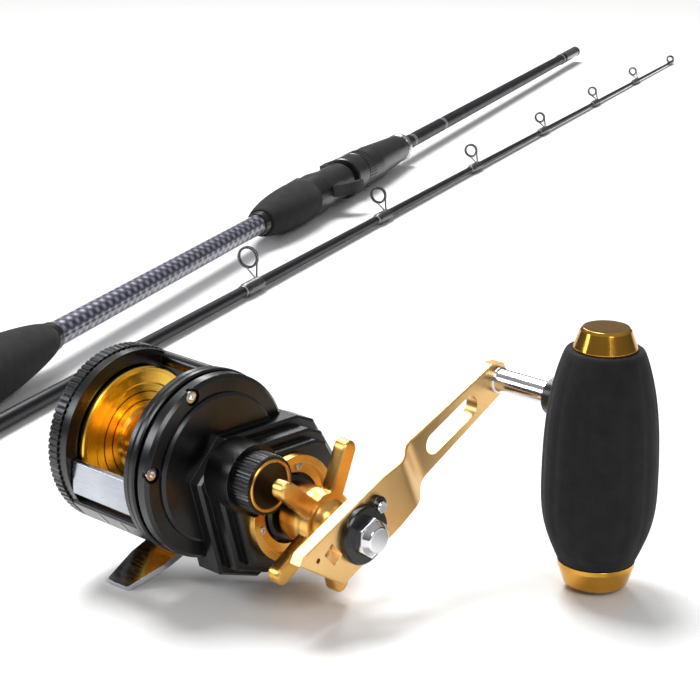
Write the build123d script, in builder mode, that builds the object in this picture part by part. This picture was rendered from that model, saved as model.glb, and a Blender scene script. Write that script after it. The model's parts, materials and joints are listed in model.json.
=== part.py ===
from build123d import *
import os
from math import atan2, cos, degrees, hypot, pi, radians, sin

# A bait-casting outfit laid out on a flat surface: a star-drag reel with a power handle, and the
# two sections of its rod. All sizes are in millimetres and +Z is up.
#
# The reel is drawn upright in its own frame: X is the spool axis towards the handle, Y points to
# the rod tip, Z is up and the foot is below. Each rod section is drawn with its axis along +Y and
# its reel or guide side along +Z. At the end each assembly is turned and set down on the surface.

os.makedirs("parts", exist_ok=True)

# ---- Reel: driving dimensions --------------------------------------------------------------
plate_r = 32.0              # outside radius of the round side plates
left_face_x = -25.4         # outer face of the left side cover
left_inner_x = -16.6        # inner face of the frame's left ring
right_inner_x = 14.3        # inner face of the frame's right ring
frame_ring_t = 3.0          # thickness of each frame ring
right_plate_x = 26.0        # outer face of the round right plate, where the gear case starts
case_tiers = (6.0, 6.0, 4.0)    # thickness of the three steps of the gear case
case_step = 3.0             # how far each step is set in from the one below
case_bevel = 0.9            # bevel along the edge of each step
mid_x = (left_inner_x + right_inner_x) / 2      # middle of the spool opening

spool_r = 25.6              # spool flange
spool_gap = 0.8             # radial gap between a flange and its frame ring
arbor_r = 10.5              # bottom of the line space
line_lip_r = 19.8           # step line on the cone of each flange
shaft_r = 2.0               # spool shaft
bearing_r = 5.5             # ball bearings of the spool and the drive shaft
bearing_t = 3.0
running = 0.05              # radial running clearance of shafts and bores
seat_gap = 0.02             # gap between pieces that are fixed together

drive_y = 10.0              # drive shaft axis, ahead of and below the spool axis
drive_z = -19.5
main_teeth = 40
pinion_teeth = 8
tooth_fill = 0.40           # share of the pitch that a tooth takes, the rest is backlash
gear_t = 4.0
gear_x = 27.2               # inner face of the main gear
drive_r = 3.0               # drive shaft
hub_x = 72.0                # inner face of the handle arm at its hub
arm_t = 5.0
arm_offset = 6.0            # how far the knob end of the arm is set back towards the reel
arm_length = 82.0           # drive axis to knob stem
arm_w = 22.0                # arm width at the hub
arm_tip_w = 13.0
arm_angle = 3.0             # angle of the arm above +Y at rest
star_x = 60.0               # plane of the star wheel's arm ends
star_r = 28.0
star_arms = 5
star_angle = 46.0           # angle of the first star arm above +Y

knob_length = 75.0          # foam grip between its two caps
knob_r = 19.7
knob_end_r = 13.3
knob_stem_x = 117.0         # plane of the knob's own axis
knob_drop = 16.0            # the stem enters this far above the middle of the grip
knob_tilt = 22.0            # lean of the knob's long axis from +Z towards +Y at rest
stem_r = 4.2
top_cap_h = 7.6
bottom_cap_h = 9.5

cap_r = 10.3                # cast control cap
cap_x = 51.2                # outer face of the cast control cap
cap_seat_h = 1.0            # round seat under the cast control cap
ring_r = 17.6               # gold ring over the drive cover
bar_travel = 2.8            # press of the thumb bar along its own height

# ---- Rod: driving dimensions ---------------------------------------------------------------
grip_length = 130.0         # foam butt grip
grip_r = 15.6               # widest radius of the butt grip
grip_nose_r = 8.2           # front end of the butt grip
woven_length = 250.0
rear_grip_length = 70.0
rear_nose_r = 8.0           # rear end of the grip behind the reel seat
seat_length = 95.0
fore_grip_length = 88.0
fore_blank_length = 490.0   # bare blank ahead of the fore ring
seat_r = 12.0
barrel_r = 9.2              # threaded barrel of the reel seat
hood_travel = 6.0
thread_pitch = 1.5
butt_blank_r = 6.0          # at the butt end
butt_front_r = 3.9          # at the ferrule end
ferrule_r = 2.6             # bore of the ferrule socket
ferrule_depth = 50.0
spigot_gap = 0.03           # radial sliding clearance of the spigot in its socket
spigot_length = 47.0        # how far the spigot stands out of the tip blank
spigot_chamfer = 0.6
spigot_root_r = 2.0         # thinner root glued into the tip blank
spigot_root_length = 30.0
collar_t = 6.0              # length of the two collars at the ends of the woven sleeve
collar_wall = 1.3

tip_length = 1120.0         # tip section blank
tip_rear_r = 3.5
tip_front_r = 0.9
guide_from_tip = (105.0, 222.0, 355.0, 502.0, 665.0, 845.0)
guide_bore_r = (2.3, 2.5, 2.7, 3.3, 3.9, 4.8)
winding_t = 0.5

# ---- How the pieces lie --------------------------------------------------------------------
reel_turn = (21.47, -6.73, -20.04)      # the reel lies tipped on its foot and its knob
butt_start = (-158.0, 57.3)             # butt end of the butt section from the reel's middle
butt_yaw = 3.2
butt_roll = -98.0                       # the trigger lies towards the reel, a little down
tip_end = (-137.9, 1219.6)              # tip-top of the tip section from the reel's middle
tip_roll = 48.0                         # the guides stand up and away from the reel

pieces = {"reel": [], "butt section": [], "tip section": []}


def finish(builder, name, group):
    """Name a finished piece and keep it with its assembly until it is set down."""
    builder.part.label = name
    pieces[group].append((name, builder))


def drive_plane(x):
    """A plane across the drive axis: local x is the reel's Y and local y its Z."""
    return Plane(origin=(x, drive_y, drive_z), x_dir=(0, 1, 0), z_dir=(1, 0, 0))


def spool_plane(x):
    """A plane across the spool axis."""
    return Plane(origin=(x, 0, 0), x_dir=(0, 1, 0), z_dir=(1, 0, 0))


spool_profile = Plane.XY
drive_profile = Plane(origin=(0, drive_y, drive_z), x_dir=(1, 0, 0), z_dir=(0, 0, 1))
drive_axis = Axis((0, drive_y, drive_z), (1, 0, 0))
case_x = [right_plate_x]
for tier_t in case_tiers:
    case_x.append(case_x[-1] + tier_t)
case_face_x = case_x[-1]
flange_bore_r = spool_r + spool_gap
left_ring_x = left_inner_x - frame_ring_t
right_ring_x = right_inner_x + frame_ring_t

# ---- Frame: two rings, three pillars and the rear bar, in one piece --------------------------
pillar_r = 29.2
pillar_angles = (38, 344)               # around the spool axis from +Y, both at the front
rear_bar_angle = 200.0                  # the rear bar, below the thumb bar
rear_bar_r = 30.2
foot_pad_z = -32.6

with BuildPart() as frame:
    with BuildSketch(spool_plane(left_ring_x)):
        Circle(plate_r - 0.7)
        Circle(flange_bore_r, mode=Mode.SUBTRACT)
    extrude(amount=frame_ring_t)
    with BuildSketch(spool_plane(right_inner_x)):
        Circle(plate_r + 0.3)
        Circle(flange_bore_r, mode=Mode.SUBTRACT)
    extrude(amount=frame_ring_t)
    chamfer(frame.edges().filter_by(GeomType.CIRCLE).group_by(SortBy.RADIUS)[-1], 0.6)
    with BuildSketch(spool_plane(left_ring_x + 0.5)):
        for angle in pillar_angles:
            with Locations((pillar_r * cos(radians(angle)), pillar_r * sin(radians(angle)))):
                Circle(2.6)
        with PolarLocations(rear_bar_r, 1, start_angle=rear_bar_angle):
            RectangleRounded(3.6, 9.6, 0.8)
        with Locations((0, foot_pad_z + 2.9)):
            Rectangle(24.0, 5.8)
    extrude(amount=right_ring_x - left_ring_x - 1.0)
    # the spool turns inside the rings, clear of the pillars
    with BuildSketch(spool_plane(left_inner_x)):
        Circle(flange_bore_r)
    extrude(amount=right_inner_x - left_inner_x, mode=Mode.SUBTRACT)
    # threaded holes for the two foot screws
    for hole_y in (-7.0, 7.0):
        with Locations(Plane(origin=(mid_x, hole_y, foot_pad_z), z_dir=(0, 0, -1))):
            Hole(1.2, depth=4.0)
finish(frame, "frame", "reel")

# ---- Left side: cover, knurled rim ring, screws ----------------------------------------------
rim_ring_w = 4.6
rim_ring_t = 2.2

with BuildPart() as left_cover:
    with BuildSketch(spool_profile):
        with BuildLine():
            Polyline(
                (left_ring_x - seat_gap, 0), (left_ring_x - seat_gap, plate_r - 0.7),
                (left_ring_x - 1.0, plate_r - 0.7), (left_ring_x - 1.0, plate_r - rim_ring_t - seat_gap),
                (left_face_x + 0.4, plate_r - rim_ring_t - seat_gap),
                (left_face_x - 0.6, plate_r - rim_ring_t - 1.4), (left_face_x - 0.6, 23.0),
                (left_face_x + 0.6, 21.6), (left_face_x + 0.6, 9.0), (left_face_x - 0.2, 8.0),
                (left_face_x - 0.2, 0), close=True,
            )
        make_face()
    revolve(axis=Axis.X)
    # pocket for the spool flange's turning room and the bearing
    with BuildSketch(spool_plane(left_ring_x - 1.5)):
        Circle(24.0)
    extrude(amount=2.0, mode=Mode.SUBTRACT)
    with BuildSketch(spool_plane(left_ring_x - 1.5 - bearing_t)):
        Circle(bearing_r + seat_gap)
    extrude(amount=bearing_t + 0.5, mode=Mode.SUBTRACT)
finish(left_cover, "left_side_cover", "reel")

with BuildPart() as left_rim:
    with BuildSketch(spool_plane(left_ring_x - 1.0 - seat_gap - rim_ring_w)):
        Circle(plate_r)
        Circle(plate_r - rim_ring_t, mode=Mode.SUBTRACT)
        with PolarLocations(plate_r, 90):
            Rectangle(0.7, 0.9, rotation=45, mode=Mode.SUBTRACT)
    extrude(amount=rim_ring_w)
finish(left_rim, "left_rim_ring", "reel")

with BuildPart() as left_screws:
    with BuildSketch(spool_plane(left_face_x - 1.2)):
        with PolarLocations(26.0, 3, start_angle=30):
            Circle(1.7)
            RegularPolygon(0.9, 6, mode=Mode.SUBTRACT)
    extrude(amount=0.6 - seat_gap)
finish(left_screws, "left_cover_screws", "reel")

# ---- Right side: round plate and stepped gear case -------------------------------------------
# corners of the gear case's lowest step, as Y and Z from the spool axis
case_outline = [
    (-14.0, 4.0), (3.0, 11.5), (34.0, -1.0), (40.0, -7.0),
    (44.0, -30.0), (31.0, -43.5), (-4.0, -44.0), (-18.0, -32.0),
]
gear_module = 2 * hypot(drive_y, drive_z) / (main_teeth + pinion_teeth)
main_pitch_r = gear_module * main_teeth / 2
pinion_pitch_r = gear_module * pinion_teeth / 2
gear_room_r = main_pitch_r + gear_module + 0.8
pinion_room_r = pinion_pitch_r + gear_module + 1.6
groove_x = right_ring_x + 2.6
groove_w = 1.4
plate_screw_r = 29.2        # ring of the plate screws, at these angles from +Y
plate_screw_angles = (90.0, 149.0, 240.0)
gear_room_x = gear_x - 0.7
gear_room_t = gear_t + 2.6

with BuildPart() as right_plate:
    # a wide rim, a groove and a second rim with a bevel
    with BuildSketch(spool_profile):
        with BuildLine():
            Polyline(
                (right_ring_x + seat_gap, 0), (right_ring_x + seat_gap, plate_r),
                (right_ring_x + 0.6, plate_r + 0.6), (groove_x - 0.5, plate_r + 0.6),
                (groove_x, plate_r), (groove_x, plate_r - 1.5), (groove_x + groove_w, plate_r - 1.5),
                (groove_x + groove_w, plate_r - 0.4), (groove_x + groove_w + 0.4, plate_r),
                (right_plate_x - 1.0, plate_r), (right_plate_x, plate_r - 1.2), (right_plate_x, 0),
                close=True,
            )
        make_face()
    revolve(axis=Axis.X)
    with BuildSketch(Plane.YZ.offset(right_ring_x + 3.4)):
        Polygon(*case_outline, align=None)
    extrude(amount=right_plate_x - right_ring_x - 3.4)
    # room for the spool flange, the bearing, the shaft and the pinion's inner end
    with BuildSketch(spool_plane(right_ring_x - 1.0)):
        Circle(24.0)
    extrude(amount=2.2, mode=Mode.SUBTRACT)
    with BuildSketch(spool_plane(right_ring_x)):
        Circle(bearing_r + seat_gap)
    extrude(amount=1.2 + bearing_t, mode=Mode.SUBTRACT)
    with BuildSketch(spool_plane(right_ring_x)):
        Circle(pinion_room_r)
    extrude(amount=right_plate_x - right_ring_x, mode=Mode.SUBTRACT)
    # bearing of the drive shaft's inner end
    with BuildSketch(drive_plane(right_plate_x - 4.0)):
        Circle(bearing_r + seat_gap)
    extrude(amount=4.0, mode=Mode.SUBTRACT)
    # scalloped recesses for the plate screws
    with BuildSketch(spool_plane(right_plate_x - 2.4)):
        for angle in plate_screw_angles:
            with PolarLocations(plate_screw_r, 1, start_angle=angle):
                Circle(2.9)
    extrude(amount=4.0, mode=Mode.SUBTRACT)
finish(right_plate, "right_side_plate", "reel")

with BuildPart() as plate_screws:
    with BuildSketch(spool_plane(right_plate_x - 2.4 + seat_gap)):
        for angle in plate_screw_angles:
            with PolarLocations(plate_screw_r, 1, start_angle=angle):
                Circle(2.1)
    extrude(amount=1.5)
    with BuildSketch(spool_plane(right_plate_x - 1.7)):
        for angle in plate_screw_angles:
            with PolarLocations(plate_screw_r, 1, start_angle=angle):
                RegularPolygon(1.1, 6)
    extrude(amount=2.0, mode=Mode.SUBTRACT)
finish(plate_screws, "right_plate_screws", "reel")

boss_r = 11.6               # black drive boss inside the gold ring
with BuildPart() as gear_case:
    # a low round step on the plate, then the three angular ones
    with BuildSketch(spool_plane(case_x[0] + seat_gap)):
        Circle(26.0)
    extrude(amount=1.6)
    chamfer(gear_case.faces().sort_by(Axis.X)[-1].edges(), case_bevel)
    for level, tier_t in enumerate(case_tiers):
        with BuildSketch(Plane.YZ.offset(case_x[level] + (seat_gap if level == 0 else 0))):
            Polygon(*case_outline, align=None)
            if level:
                offset(amount=-case_step * level, kind=Kind.INTERSECTION, mode=Mode.REPLACE)
        extrude(amount=tier_t - (seat_gap if level == 0 else 0))
        outer_edges = gear_case.faces().sort_by(Axis.X)[-1].edges()
        chamfer(outer_edges, case_bevel)
    # round seat for the cast control cap and flat seat for the gold ring
    with BuildSketch(spool_plane(case_x[1])):
        Circle(cap_r + 1.8)
    extrude(amount=case_face_x - case_x[1] + cap_seat_h)
    with BuildSketch(drive_plane(case_x[1])):
        Circle(ring_r + 1.2)
    extrude(amount=case_face_x - case_x[1])
    # gear room, pinion room, clearance for the shafts
    with BuildSketch(drive_plane(gear_room_x - 0.6)):
        Circle(gear_room_r)
    extrude(amount=gear_room_t, mode=Mode.SUBTRACT)
    with BuildSketch(spool_plane(right_plate_x)):
        Circle(pinion_room_r)
    extrude(amount=gear_room_t + 0.5, mode=Mode.SUBTRACT)
    with BuildSketch(spool_plane(right_plate_x)):
        Circle(shaft_r + running)
    extrude(amount=case_face_x - right_plate_x + 2.0, mode=Mode.SUBTRACT)
    with BuildSketch(drive_plane(right_plate_x)):
        Circle(boss_r + seat_gap)
    extrude(amount=case_face_x - right_plate_x + 2.0, mode=Mode.SUBTRACT)
finish(gear_case, "gear_case", "reel")

with BuildPart() as cover_ring:
    with BuildSketch(drive_plane(case_face_x + seat_gap)):
        Circle(ring_r)
        Circle(boss_r + 0.9, mode=Mode.SUBTRACT)
    extrude(amount=2.2)
    with BuildSketch(drive_plane(case_face_x)):
        Circle(ring_r + 1.0)
        Circle(ring_r - 1.6, mode=Mode.SUBTRACT)
    extrude(amount=3.4)
    # crescent windows between the rim and the inner ring
    with BuildSketch(drive_plane(case_face_x - 1.0)):
        for middle in (20.0, 92.0, 200.0, 272.0):
            with PolarLocations(0, 1, start_angle=middle):
                SlotArc(CenterArc((0, 0), ring_r - 3.3, -23, 46), 2.0)
    extrude(amount=6.0, mode=Mode.SUBTRACT)
    # bite for the cast control cap, which stands in front of the ring
    with BuildSketch(spool_plane(case_face_x - 1.0)):
        Circle(cap_r + 2.2)
    extrude(amount=8.0, mode=Mode.SUBTRACT)
    with BuildSketch(drive_plane(case_face_x)):
        with PolarLocations(ring_r - 3.0, 3, start_angle=56):
            Circle(1.5 + seat_gap)
    extrude(amount=6.0, mode=Mode.SUBTRACT)
    # nothing of the ring reaches back into the case
    split(bisect_by=drive_plane(case_face_x + seat_gap), keep=Keep.TOP)
finish(cover_ring, "drive_cover_ring", "reel")

with BuildPart() as ring_screws:
    with BuildSketch(drive_plane(case_face_x + seat_gap)):
        with PolarLocations(ring_r - 3.0, 3, start_angle=56):
            Circle(1.5)
    extrude(amount=2.6)
    with BuildSketch(drive_plane(case_face_x + 1.6)):
        with PolarLocations(ring_r - 3.0, 3, start_angle=56):
            RegularPolygon(0.8, 6)
    extrude(amount=2.0, mode=Mode.SUBTRACT)
finish(ring_screws, "cover_ring_screws", "reel")

# black boss that holds the one-way bearing around the drive shaft
boss_t = 3.6
one_way_r = 7.0
with BuildPart() as drive_boss:
    with BuildSketch(drive_plane(gear_room_x + gear_room_t + 0.4)):
        Circle(boss_r)
        Circle(one_way_r + seat_gap, mode=Mode.SUBTRACT)
    extrude(amount=case_face_x + boss_t - gear_room_x - gear_room_t - 0.4)
    chamfer(drive_boss.faces().sort_by(Axis.X)[-1].outer_wire().edges(), 1.0)
finish(drive_boss, "drive_boss", "reel")

sleeve_r = drive_r + 1.2
with BuildPart() as one_way_bearing:
    with BuildSketch(drive_plane(gear_room_x + gear_room_t + 0.6)):
        Circle(one_way_r)
        Circle(sleeve_r + running, mode=Mode.SUBTRACT)
    extrude(amount=case_face_x + 2.0 - gear_room_x - gear_room_t - 0.6)
finish(one_way_bearing, "one_way_bearing", "reel")

with BuildPart() as drive_bearing:
    with BuildSketch(drive_plane(right_plate_x - 3.9)):
        Circle(bearing_r)
        Circle(drive_r + running, mode=Mode.SUBTRACT)
    extrude(amount=bearing_t)
finish(drive_bearing, "drive_bearing", "reel")

with BuildPart() as bearing_left:
    with BuildSketch(spool_plane(left_ring_x - 1.4 - bearing_t)):
        Circle(bearing_r)
        Circle(shaft_r + running, mode=Mode.SUBTRACT)
    extrude(amount=bearing_t)
finish(bearing_left, "spool_bearing_left", "reel")

with BuildPart() as bearing_right:
    with BuildSketch(spool_plane(right_ring_x + 1.25)):
        Circle(bearing_r)
        Circle(shaft_r + running, mode=Mode.SUBTRACT)
    extrude(amount=bearing_t - 0.1)
finish(bearing_right, "spool_bearing_right", "reel")

# ---- Foot --------------------------------------------------------------------------------------
foot_rear_y = -38.0
foot_front_y = 34.0
foot_t = 1.7
foot_end_w = 10.5
foot_mid_w = 17.0

with BuildPart() as foot:
    with BuildSketch(Plane.YZ.offset(mid_x - foot_mid_w / 2 - 1.0)):
        with BuildLine():
            Polyline(
                (foot_rear_y, foot_pad_z + 0.6), (-17.0, foot_pad_z - seat_gap),
                (17.0, foot_pad_z - seat_gap),
                (foot_front_y, foot_pad_z + 0.6), (foot_front_y, foot_pad_z + 0.6 - foot_t),
                (17.0, foot_pad_z - foot_t - 0.8), (-17.0, foot_pad_z - foot_t - 0.8),
                (foot_rear_y, foot_pad_z + 0.6 - foot_t), close=True,
            )
        make_face()
    extrude(amount=foot_mid_w + 2.0)
    # the two ends narrow to tabs with round corners
    with BuildSketch(Plane(origin=(mid_x, 0, foot_pad_z - 5.0), z_dir=(0, 0, 1))):
        with BuildLine():
            Polyline(
                (-foot_end_w / 2, foot_rear_y), (foot_end_w / 2, foot_rear_y),
                (foot_mid_w / 2, -23.0), (foot_mid_w / 2, 20.0),
                (foot_end_w / 2, foot_front_y), (-foot_end_w / 2, foot_front_y),
                (-foot_mid_w / 2, 20.0), (-foot_mid_w / 2, -23.0), close=True,
            )
        make_face()
    extrude(amount=10.0, mode=Mode.INTERSECT)
    for hole_y in (-7.0, 7.0):
        with Locations(Plane(origin=(mid_x, hole_y, foot_pad_z - foot_t - 0.8), z_dir=(0, 0, -1))):
            CounterBoreHole(1.2 + seat_gap, 2.0 + seat_gap, 0.9)
    tab_corners = foot.edges().filter_by(Axis.Z).group_by(Axis.Y)
    fillet(tab_corners[0] + tab_corners[-1], 2.2)
finish(foot, "reel_foot", "reel")

with BuildPart() as foot_screws:
    for hole_y in (-7.0, 7.0):
        with BuildSketch(Plane.XY.offset(foot_pad_z - foot_t - 0.7)):
            with Locations((mid_x, hole_y)):
                Circle(2.0)
        extrude(amount=0.7)
        with BuildSketch(Plane.XY.offset(foot_pad_z - foot_t)):
            with Locations((mid_x, hole_y)):
                Circle(1.2 - seat_gap)
        extrude(amount=foot_t + 3.4)
finish(foot_screws, "foot_screws", "reel")

# ---- Thumb bar across the rear opening ---------------------------------------------------------
bar_r = 28.4                # middle of the bar from the spool axis
bar_angle = 173.0
bar_h = 12.6
bar_length = right_inner_x - left_inner_x - 0.8
bar_lean = 24.0             # the top edge leans in towards the spool
bar_plane = Plane(
    origin=(mid_x - bar_length / 2, bar_r * cos(radians(bar_angle)), bar_r * sin(radians(bar_angle))),
    x_dir=(0, -cos(radians(bar_lean)), sin(radians(bar_lean))), z_dir=(1, 0, 0),
)

with BuildPart() as thumb_bar:
    with BuildSketch(bar_plane):
        with BuildLine():
            Polyline((-1.6, -2.6), (-0.6, -bar_h / 2), (1.4, -bar_h / 2 + 0.7), (1.7, 1.2),
                     (1.1, bar_h / 2 - 0.4), (-0.3, bar_h / 2), (-1.7, 2.4), close=True)
        make_face()
    extrude(amount=bar_length)
    fillet(thumb_bar.edges().filter_by(Axis.X), 0.45)
finish(thumb_bar, "thumb_bar", "reel")

# ---- Spool, its shaft and pinion ---------------------------------------------------------------
spool_left_x = left_inner_x - 0.4
spool_right_x = right_inner_x + 0.4
lip_in = 2.6                # where the flange's rim meets its cone, from the outer face
cone_in = 4.8               # where the cone meets the arbor, from the outer face
line_hole_r = 1.2           # hole through the arbor that the line is tied to

with BuildPart() as spool:
    with BuildSketch(spool_profile):
        with BuildLine():
            Polyline(
                (spool_left_x, shaft_r + seat_gap), (spool_left_x, spool_r - 0.6),
                (spool_left_x + 0.6, spool_r),
                (spool_left_x + lip_in - 0.5, spool_r), (spool_left_x + lip_in, spool_r - 0.5),
                (spool_left_x + lip_in, spool_r - 1.8), (spool_left_x + lip_in + 0.7, line_lip_r + 0.3),
                (spool_left_x + lip_in + 0.3, line_lip_r - 0.2), (spool_left_x + cone_in, arbor_r + 1.6),
                (spool_left_x + cone_in - 0.3, arbor_r + 1.2), (spool_left_x + cone_in + 0.6, arbor_r),
                (spool_right_x - cone_in - 0.6, arbor_r), (spool_right_x - cone_in + 0.3, arbor_r + 1.2),
                (spool_right_x - cone_in, arbor_r + 1.6), (spool_right_x - lip_in - 0.3, line_lip_r - 0.2),
                (spool_right_x - lip_in - 0.7, line_lip_r + 0.3), (spool_right_x - lip_in, spool_r - 1.8),
                (spool_right_x - lip_in, spool_r - 0.5), (spool_right_x - lip_in + 0.5, spool_r),
                (spool_right_x - 0.6, spool_r), (spool_right_x, spool_r - 0.6),
                (spool_right_x, shaft_r + seat_gap), close=True,
            )
        make_face()
    revolve(axis=Axis.X)
    # line holes through the arbor
    with Locations(Plane(origin=(mid_x, 0, 0), z_dir=(0, 0, 1))):
        Hole(line_hole_r)
finish(spool, "spool", "reel")

pinion_x = gear_x - 0.3
with BuildPart() as spool_shaft:
    with BuildSketch(spool_plane(left_face_x + 2.0)):
        Circle(shaft_r)
    extrude(amount=case_face_x + 1.0 - left_face_x - 2.0)
    chamfer(spool_shaft.edges().filter_by(GeomType.CIRCLE), 0.4)
finish(spool_shaft, "spool_shaft", "reel")


def gear_outline(teeth, start_angle):
    """Points of a gear with straight-sided teeth, one tooth centred on the start angle."""
    pitch_r = gear_module * teeth / 2
    tip_r = pitch_r + 0.75 * gear_module
    root_r = pitch_r - 1.05 * gear_module
    pitch = 2 * pi / teeth
    half = tooth_fill * pitch / 2
    lean = sin(radians(20)) * gear_module
    points = []
    for tooth in range(teeth):
        middle = radians(start_angle) + tooth * pitch
        corners = (
            (root_r, -half - lean / pitch_r), (tip_r, -half + 0.75 * lean / pitch_r),
            (tip_r, half - 0.75 * lean / pitch_r), (root_r, half + lean / pitch_r),
        )
        for radius, turn in corners:
            points.append((radius * cos(middle + turn), radius * sin(middle + turn)))
    return points


# a gap of the main gear faces a tooth of the pinion, on the line between the two axes
line_of_centres = degrees(atan2(drive_z, drive_y))
with BuildPart() as pinion:
    with BuildSketch(spool_plane(pinion_x)):
        Polygon(*gear_outline(pinion_teeth, line_of_centres), align=None)
        Circle(shaft_r + seat_gap, mode=Mode.SUBTRACT)
    extrude(amount=gear_t + 0.6)
    with BuildSketch(spool_plane(pinion_x - 2.0)):
        Circle(pinion_pitch_r + 0.5)
        Circle(shaft_r + seat_gap, mode=Mode.SUBTRACT)
    extrude(amount=2.0)
finish(pinion, "pinion_gear", "reel")

# ---- Drive train -------------------------------------------------------------------------------
washer_t = 0.6
with BuildPart() as main_gear:
    with BuildSketch(drive_plane(gear_x)):
        gap_angle = line_of_centres + 180 + 180 / main_teeth
        Polygon(*gear_outline(main_teeth, gap_angle), align=None)
        Circle(drive_r + seat_gap, mode=Mode.SUBTRACT)
    extrude(amount=gear_t)
    # hollow for the drag washers
    with BuildSketch(drive_plane(gear_x + gear_t - 2 * washer_t)):
        Circle(main_pitch_r - 3.0)
        Circle(drive_r, mode=Mode.SUBTRACT)
    extrude(amount=2 * washer_t, mode=Mode.SUBTRACT)
finish(main_gear, "main_gear", "reel")

with BuildPart() as drag_washers:
    for washer in range(2):
        with BuildSketch(drive_plane(gear_x + gear_t - (2 - washer) * washer_t + seat_gap)):
            Circle(main_pitch_r - 3.0 - seat_gap)
            Circle(drive_r + seat_gap, mode=Mode.SUBTRACT)
        extrude(amount=washer_t - seat_gap)
finish(drag_washers, "drag_washers", "reel")

nut_x = hub_x + arm_t
with BuildPart() as drive_shaft:
    with BuildSketch(drive_plane(right_plate_x - 3.9)):
        Circle(drive_r)
    extrude(amount=nut_x + 5.0 - right_plate_x + 3.9)
    chamfer(drive_shaft.faces().sort_by(Axis.X)[-1].edges(), 0.5)
finish(drive_shaft, "drive_shaft", "reel")

with BuildPart() as drive_sleeve:
    with BuildSketch(drive_plane(gear_x + gear_t + seat_gap)):
        Circle(sleeve_r)
        Circle(drive_r + seat_gap, mode=Mode.SUBTRACT)
    extrude(amount=case_face_x + boss_t + 0.4 - gear_x - gear_t)
finish(drive_sleeve, "drive_sleeve", "reel")

# ---- Star drag wheel ---------------------------------------------------------------------------
star_hub_x = case_face_x + boss_t + 1.0
star_hub_r = 9.6
star_arm_w = 6.4
star_arm_t = 4.6
star_root_r = 10.4
with BuildPart() as star:
    with BuildSketch(drive_profile):
        with BuildLine():
            Polyline(
                (star_hub_x, drive_r + running), (star_hub_x, star_hub_r - 1.6),
                (star_hub_x + 1.2, star_hub_r), (star_x - 4.0, star_hub_r + 0.8), (star_x, star_hub_r),
                (star_x + 4.5, 6.4), (star_x + 5.5, 5.4), (star_x + 5.5, drive_r + running), close=True,
            )
        make_face()
    revolve(axis=drive_axis)
    # flat arms with round ends and a hollow curve between neighbours
    with BuildSketch(drive_plane(star_x - star_arm_t / 2)) as star_outline:
        Circle(star_root_r)
        for turn in range(star_arms):
            with PolarLocations(star_r / 2, 1, start_angle=star_angle + turn * 360 / star_arms):
                SlotOverall(star_r, star_arm_w)
        hollows = star_outline.vertices().filter_by(
            lambda corner: hypot(corner.Y - drive_y, corner.Z - drive_z) < star_root_r + 1.0)
        fillet(hollows, 2.6)
        Circle(drive_r + running, mode=Mode.SUBTRACT)
    extrude(amount=star_arm_t)
    chamfer(star.faces().filter_by(Axis.X).sort_by(SortBy.AREA)[-1].outer_wire().edges(), 0.5)
finish(star, "star_drag", "reel")

with BuildPart() as spring_washers:
    for washer in range(2):
        with BuildSketch(drive_plane(star_x + 5.7 + washer * 1.1)):
            Circle(5.2)
            Circle(drive_r + seat_gap, mode=Mode.SUBTRACT)
        extrude(amount=0.9)
finish(spring_washers, "star_spring_washers", "reel")

# ---- Handle arm --------------------------------------------------------------------------------
# The arm is drawn as if it lay straight along +Y and is turned to its rest angle about the drive
# axis. Its outline is an extrusion along X, cut to the side view with the set-back bend.
arm_out = (0, cos(radians(arm_angle)), sin(radians(arm_angle)))
arm_side = (0, -sin(radians(arm_angle)), cos(radians(arm_angle)))
bend_start = 24.0           # the set-back bend, as distances from the drive axis
bend_end = 38.0
heel = 27.0                 # short end of the arm behind the drive axis
end_x = hub_x - arm_offset


def arm_face(x):
    """A plane across the arm's own thickness: local x runs along the arm."""
    return Plane(origin=(x, drive_y, drive_z), x_dir=arm_out, z_dir=(1, 0, 0))


def arm_profile(v):
    """A plane along the arm, seen from below, at distance v from its centre line."""
    origin = (0, drive_y + v * arm_side[1], drive_z + v * arm_side[2])
    return Plane(origin=origin, x_dir=arm_out, z_dir=(-arm_side[0], -arm_side[1], -arm_side[2]))


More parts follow.
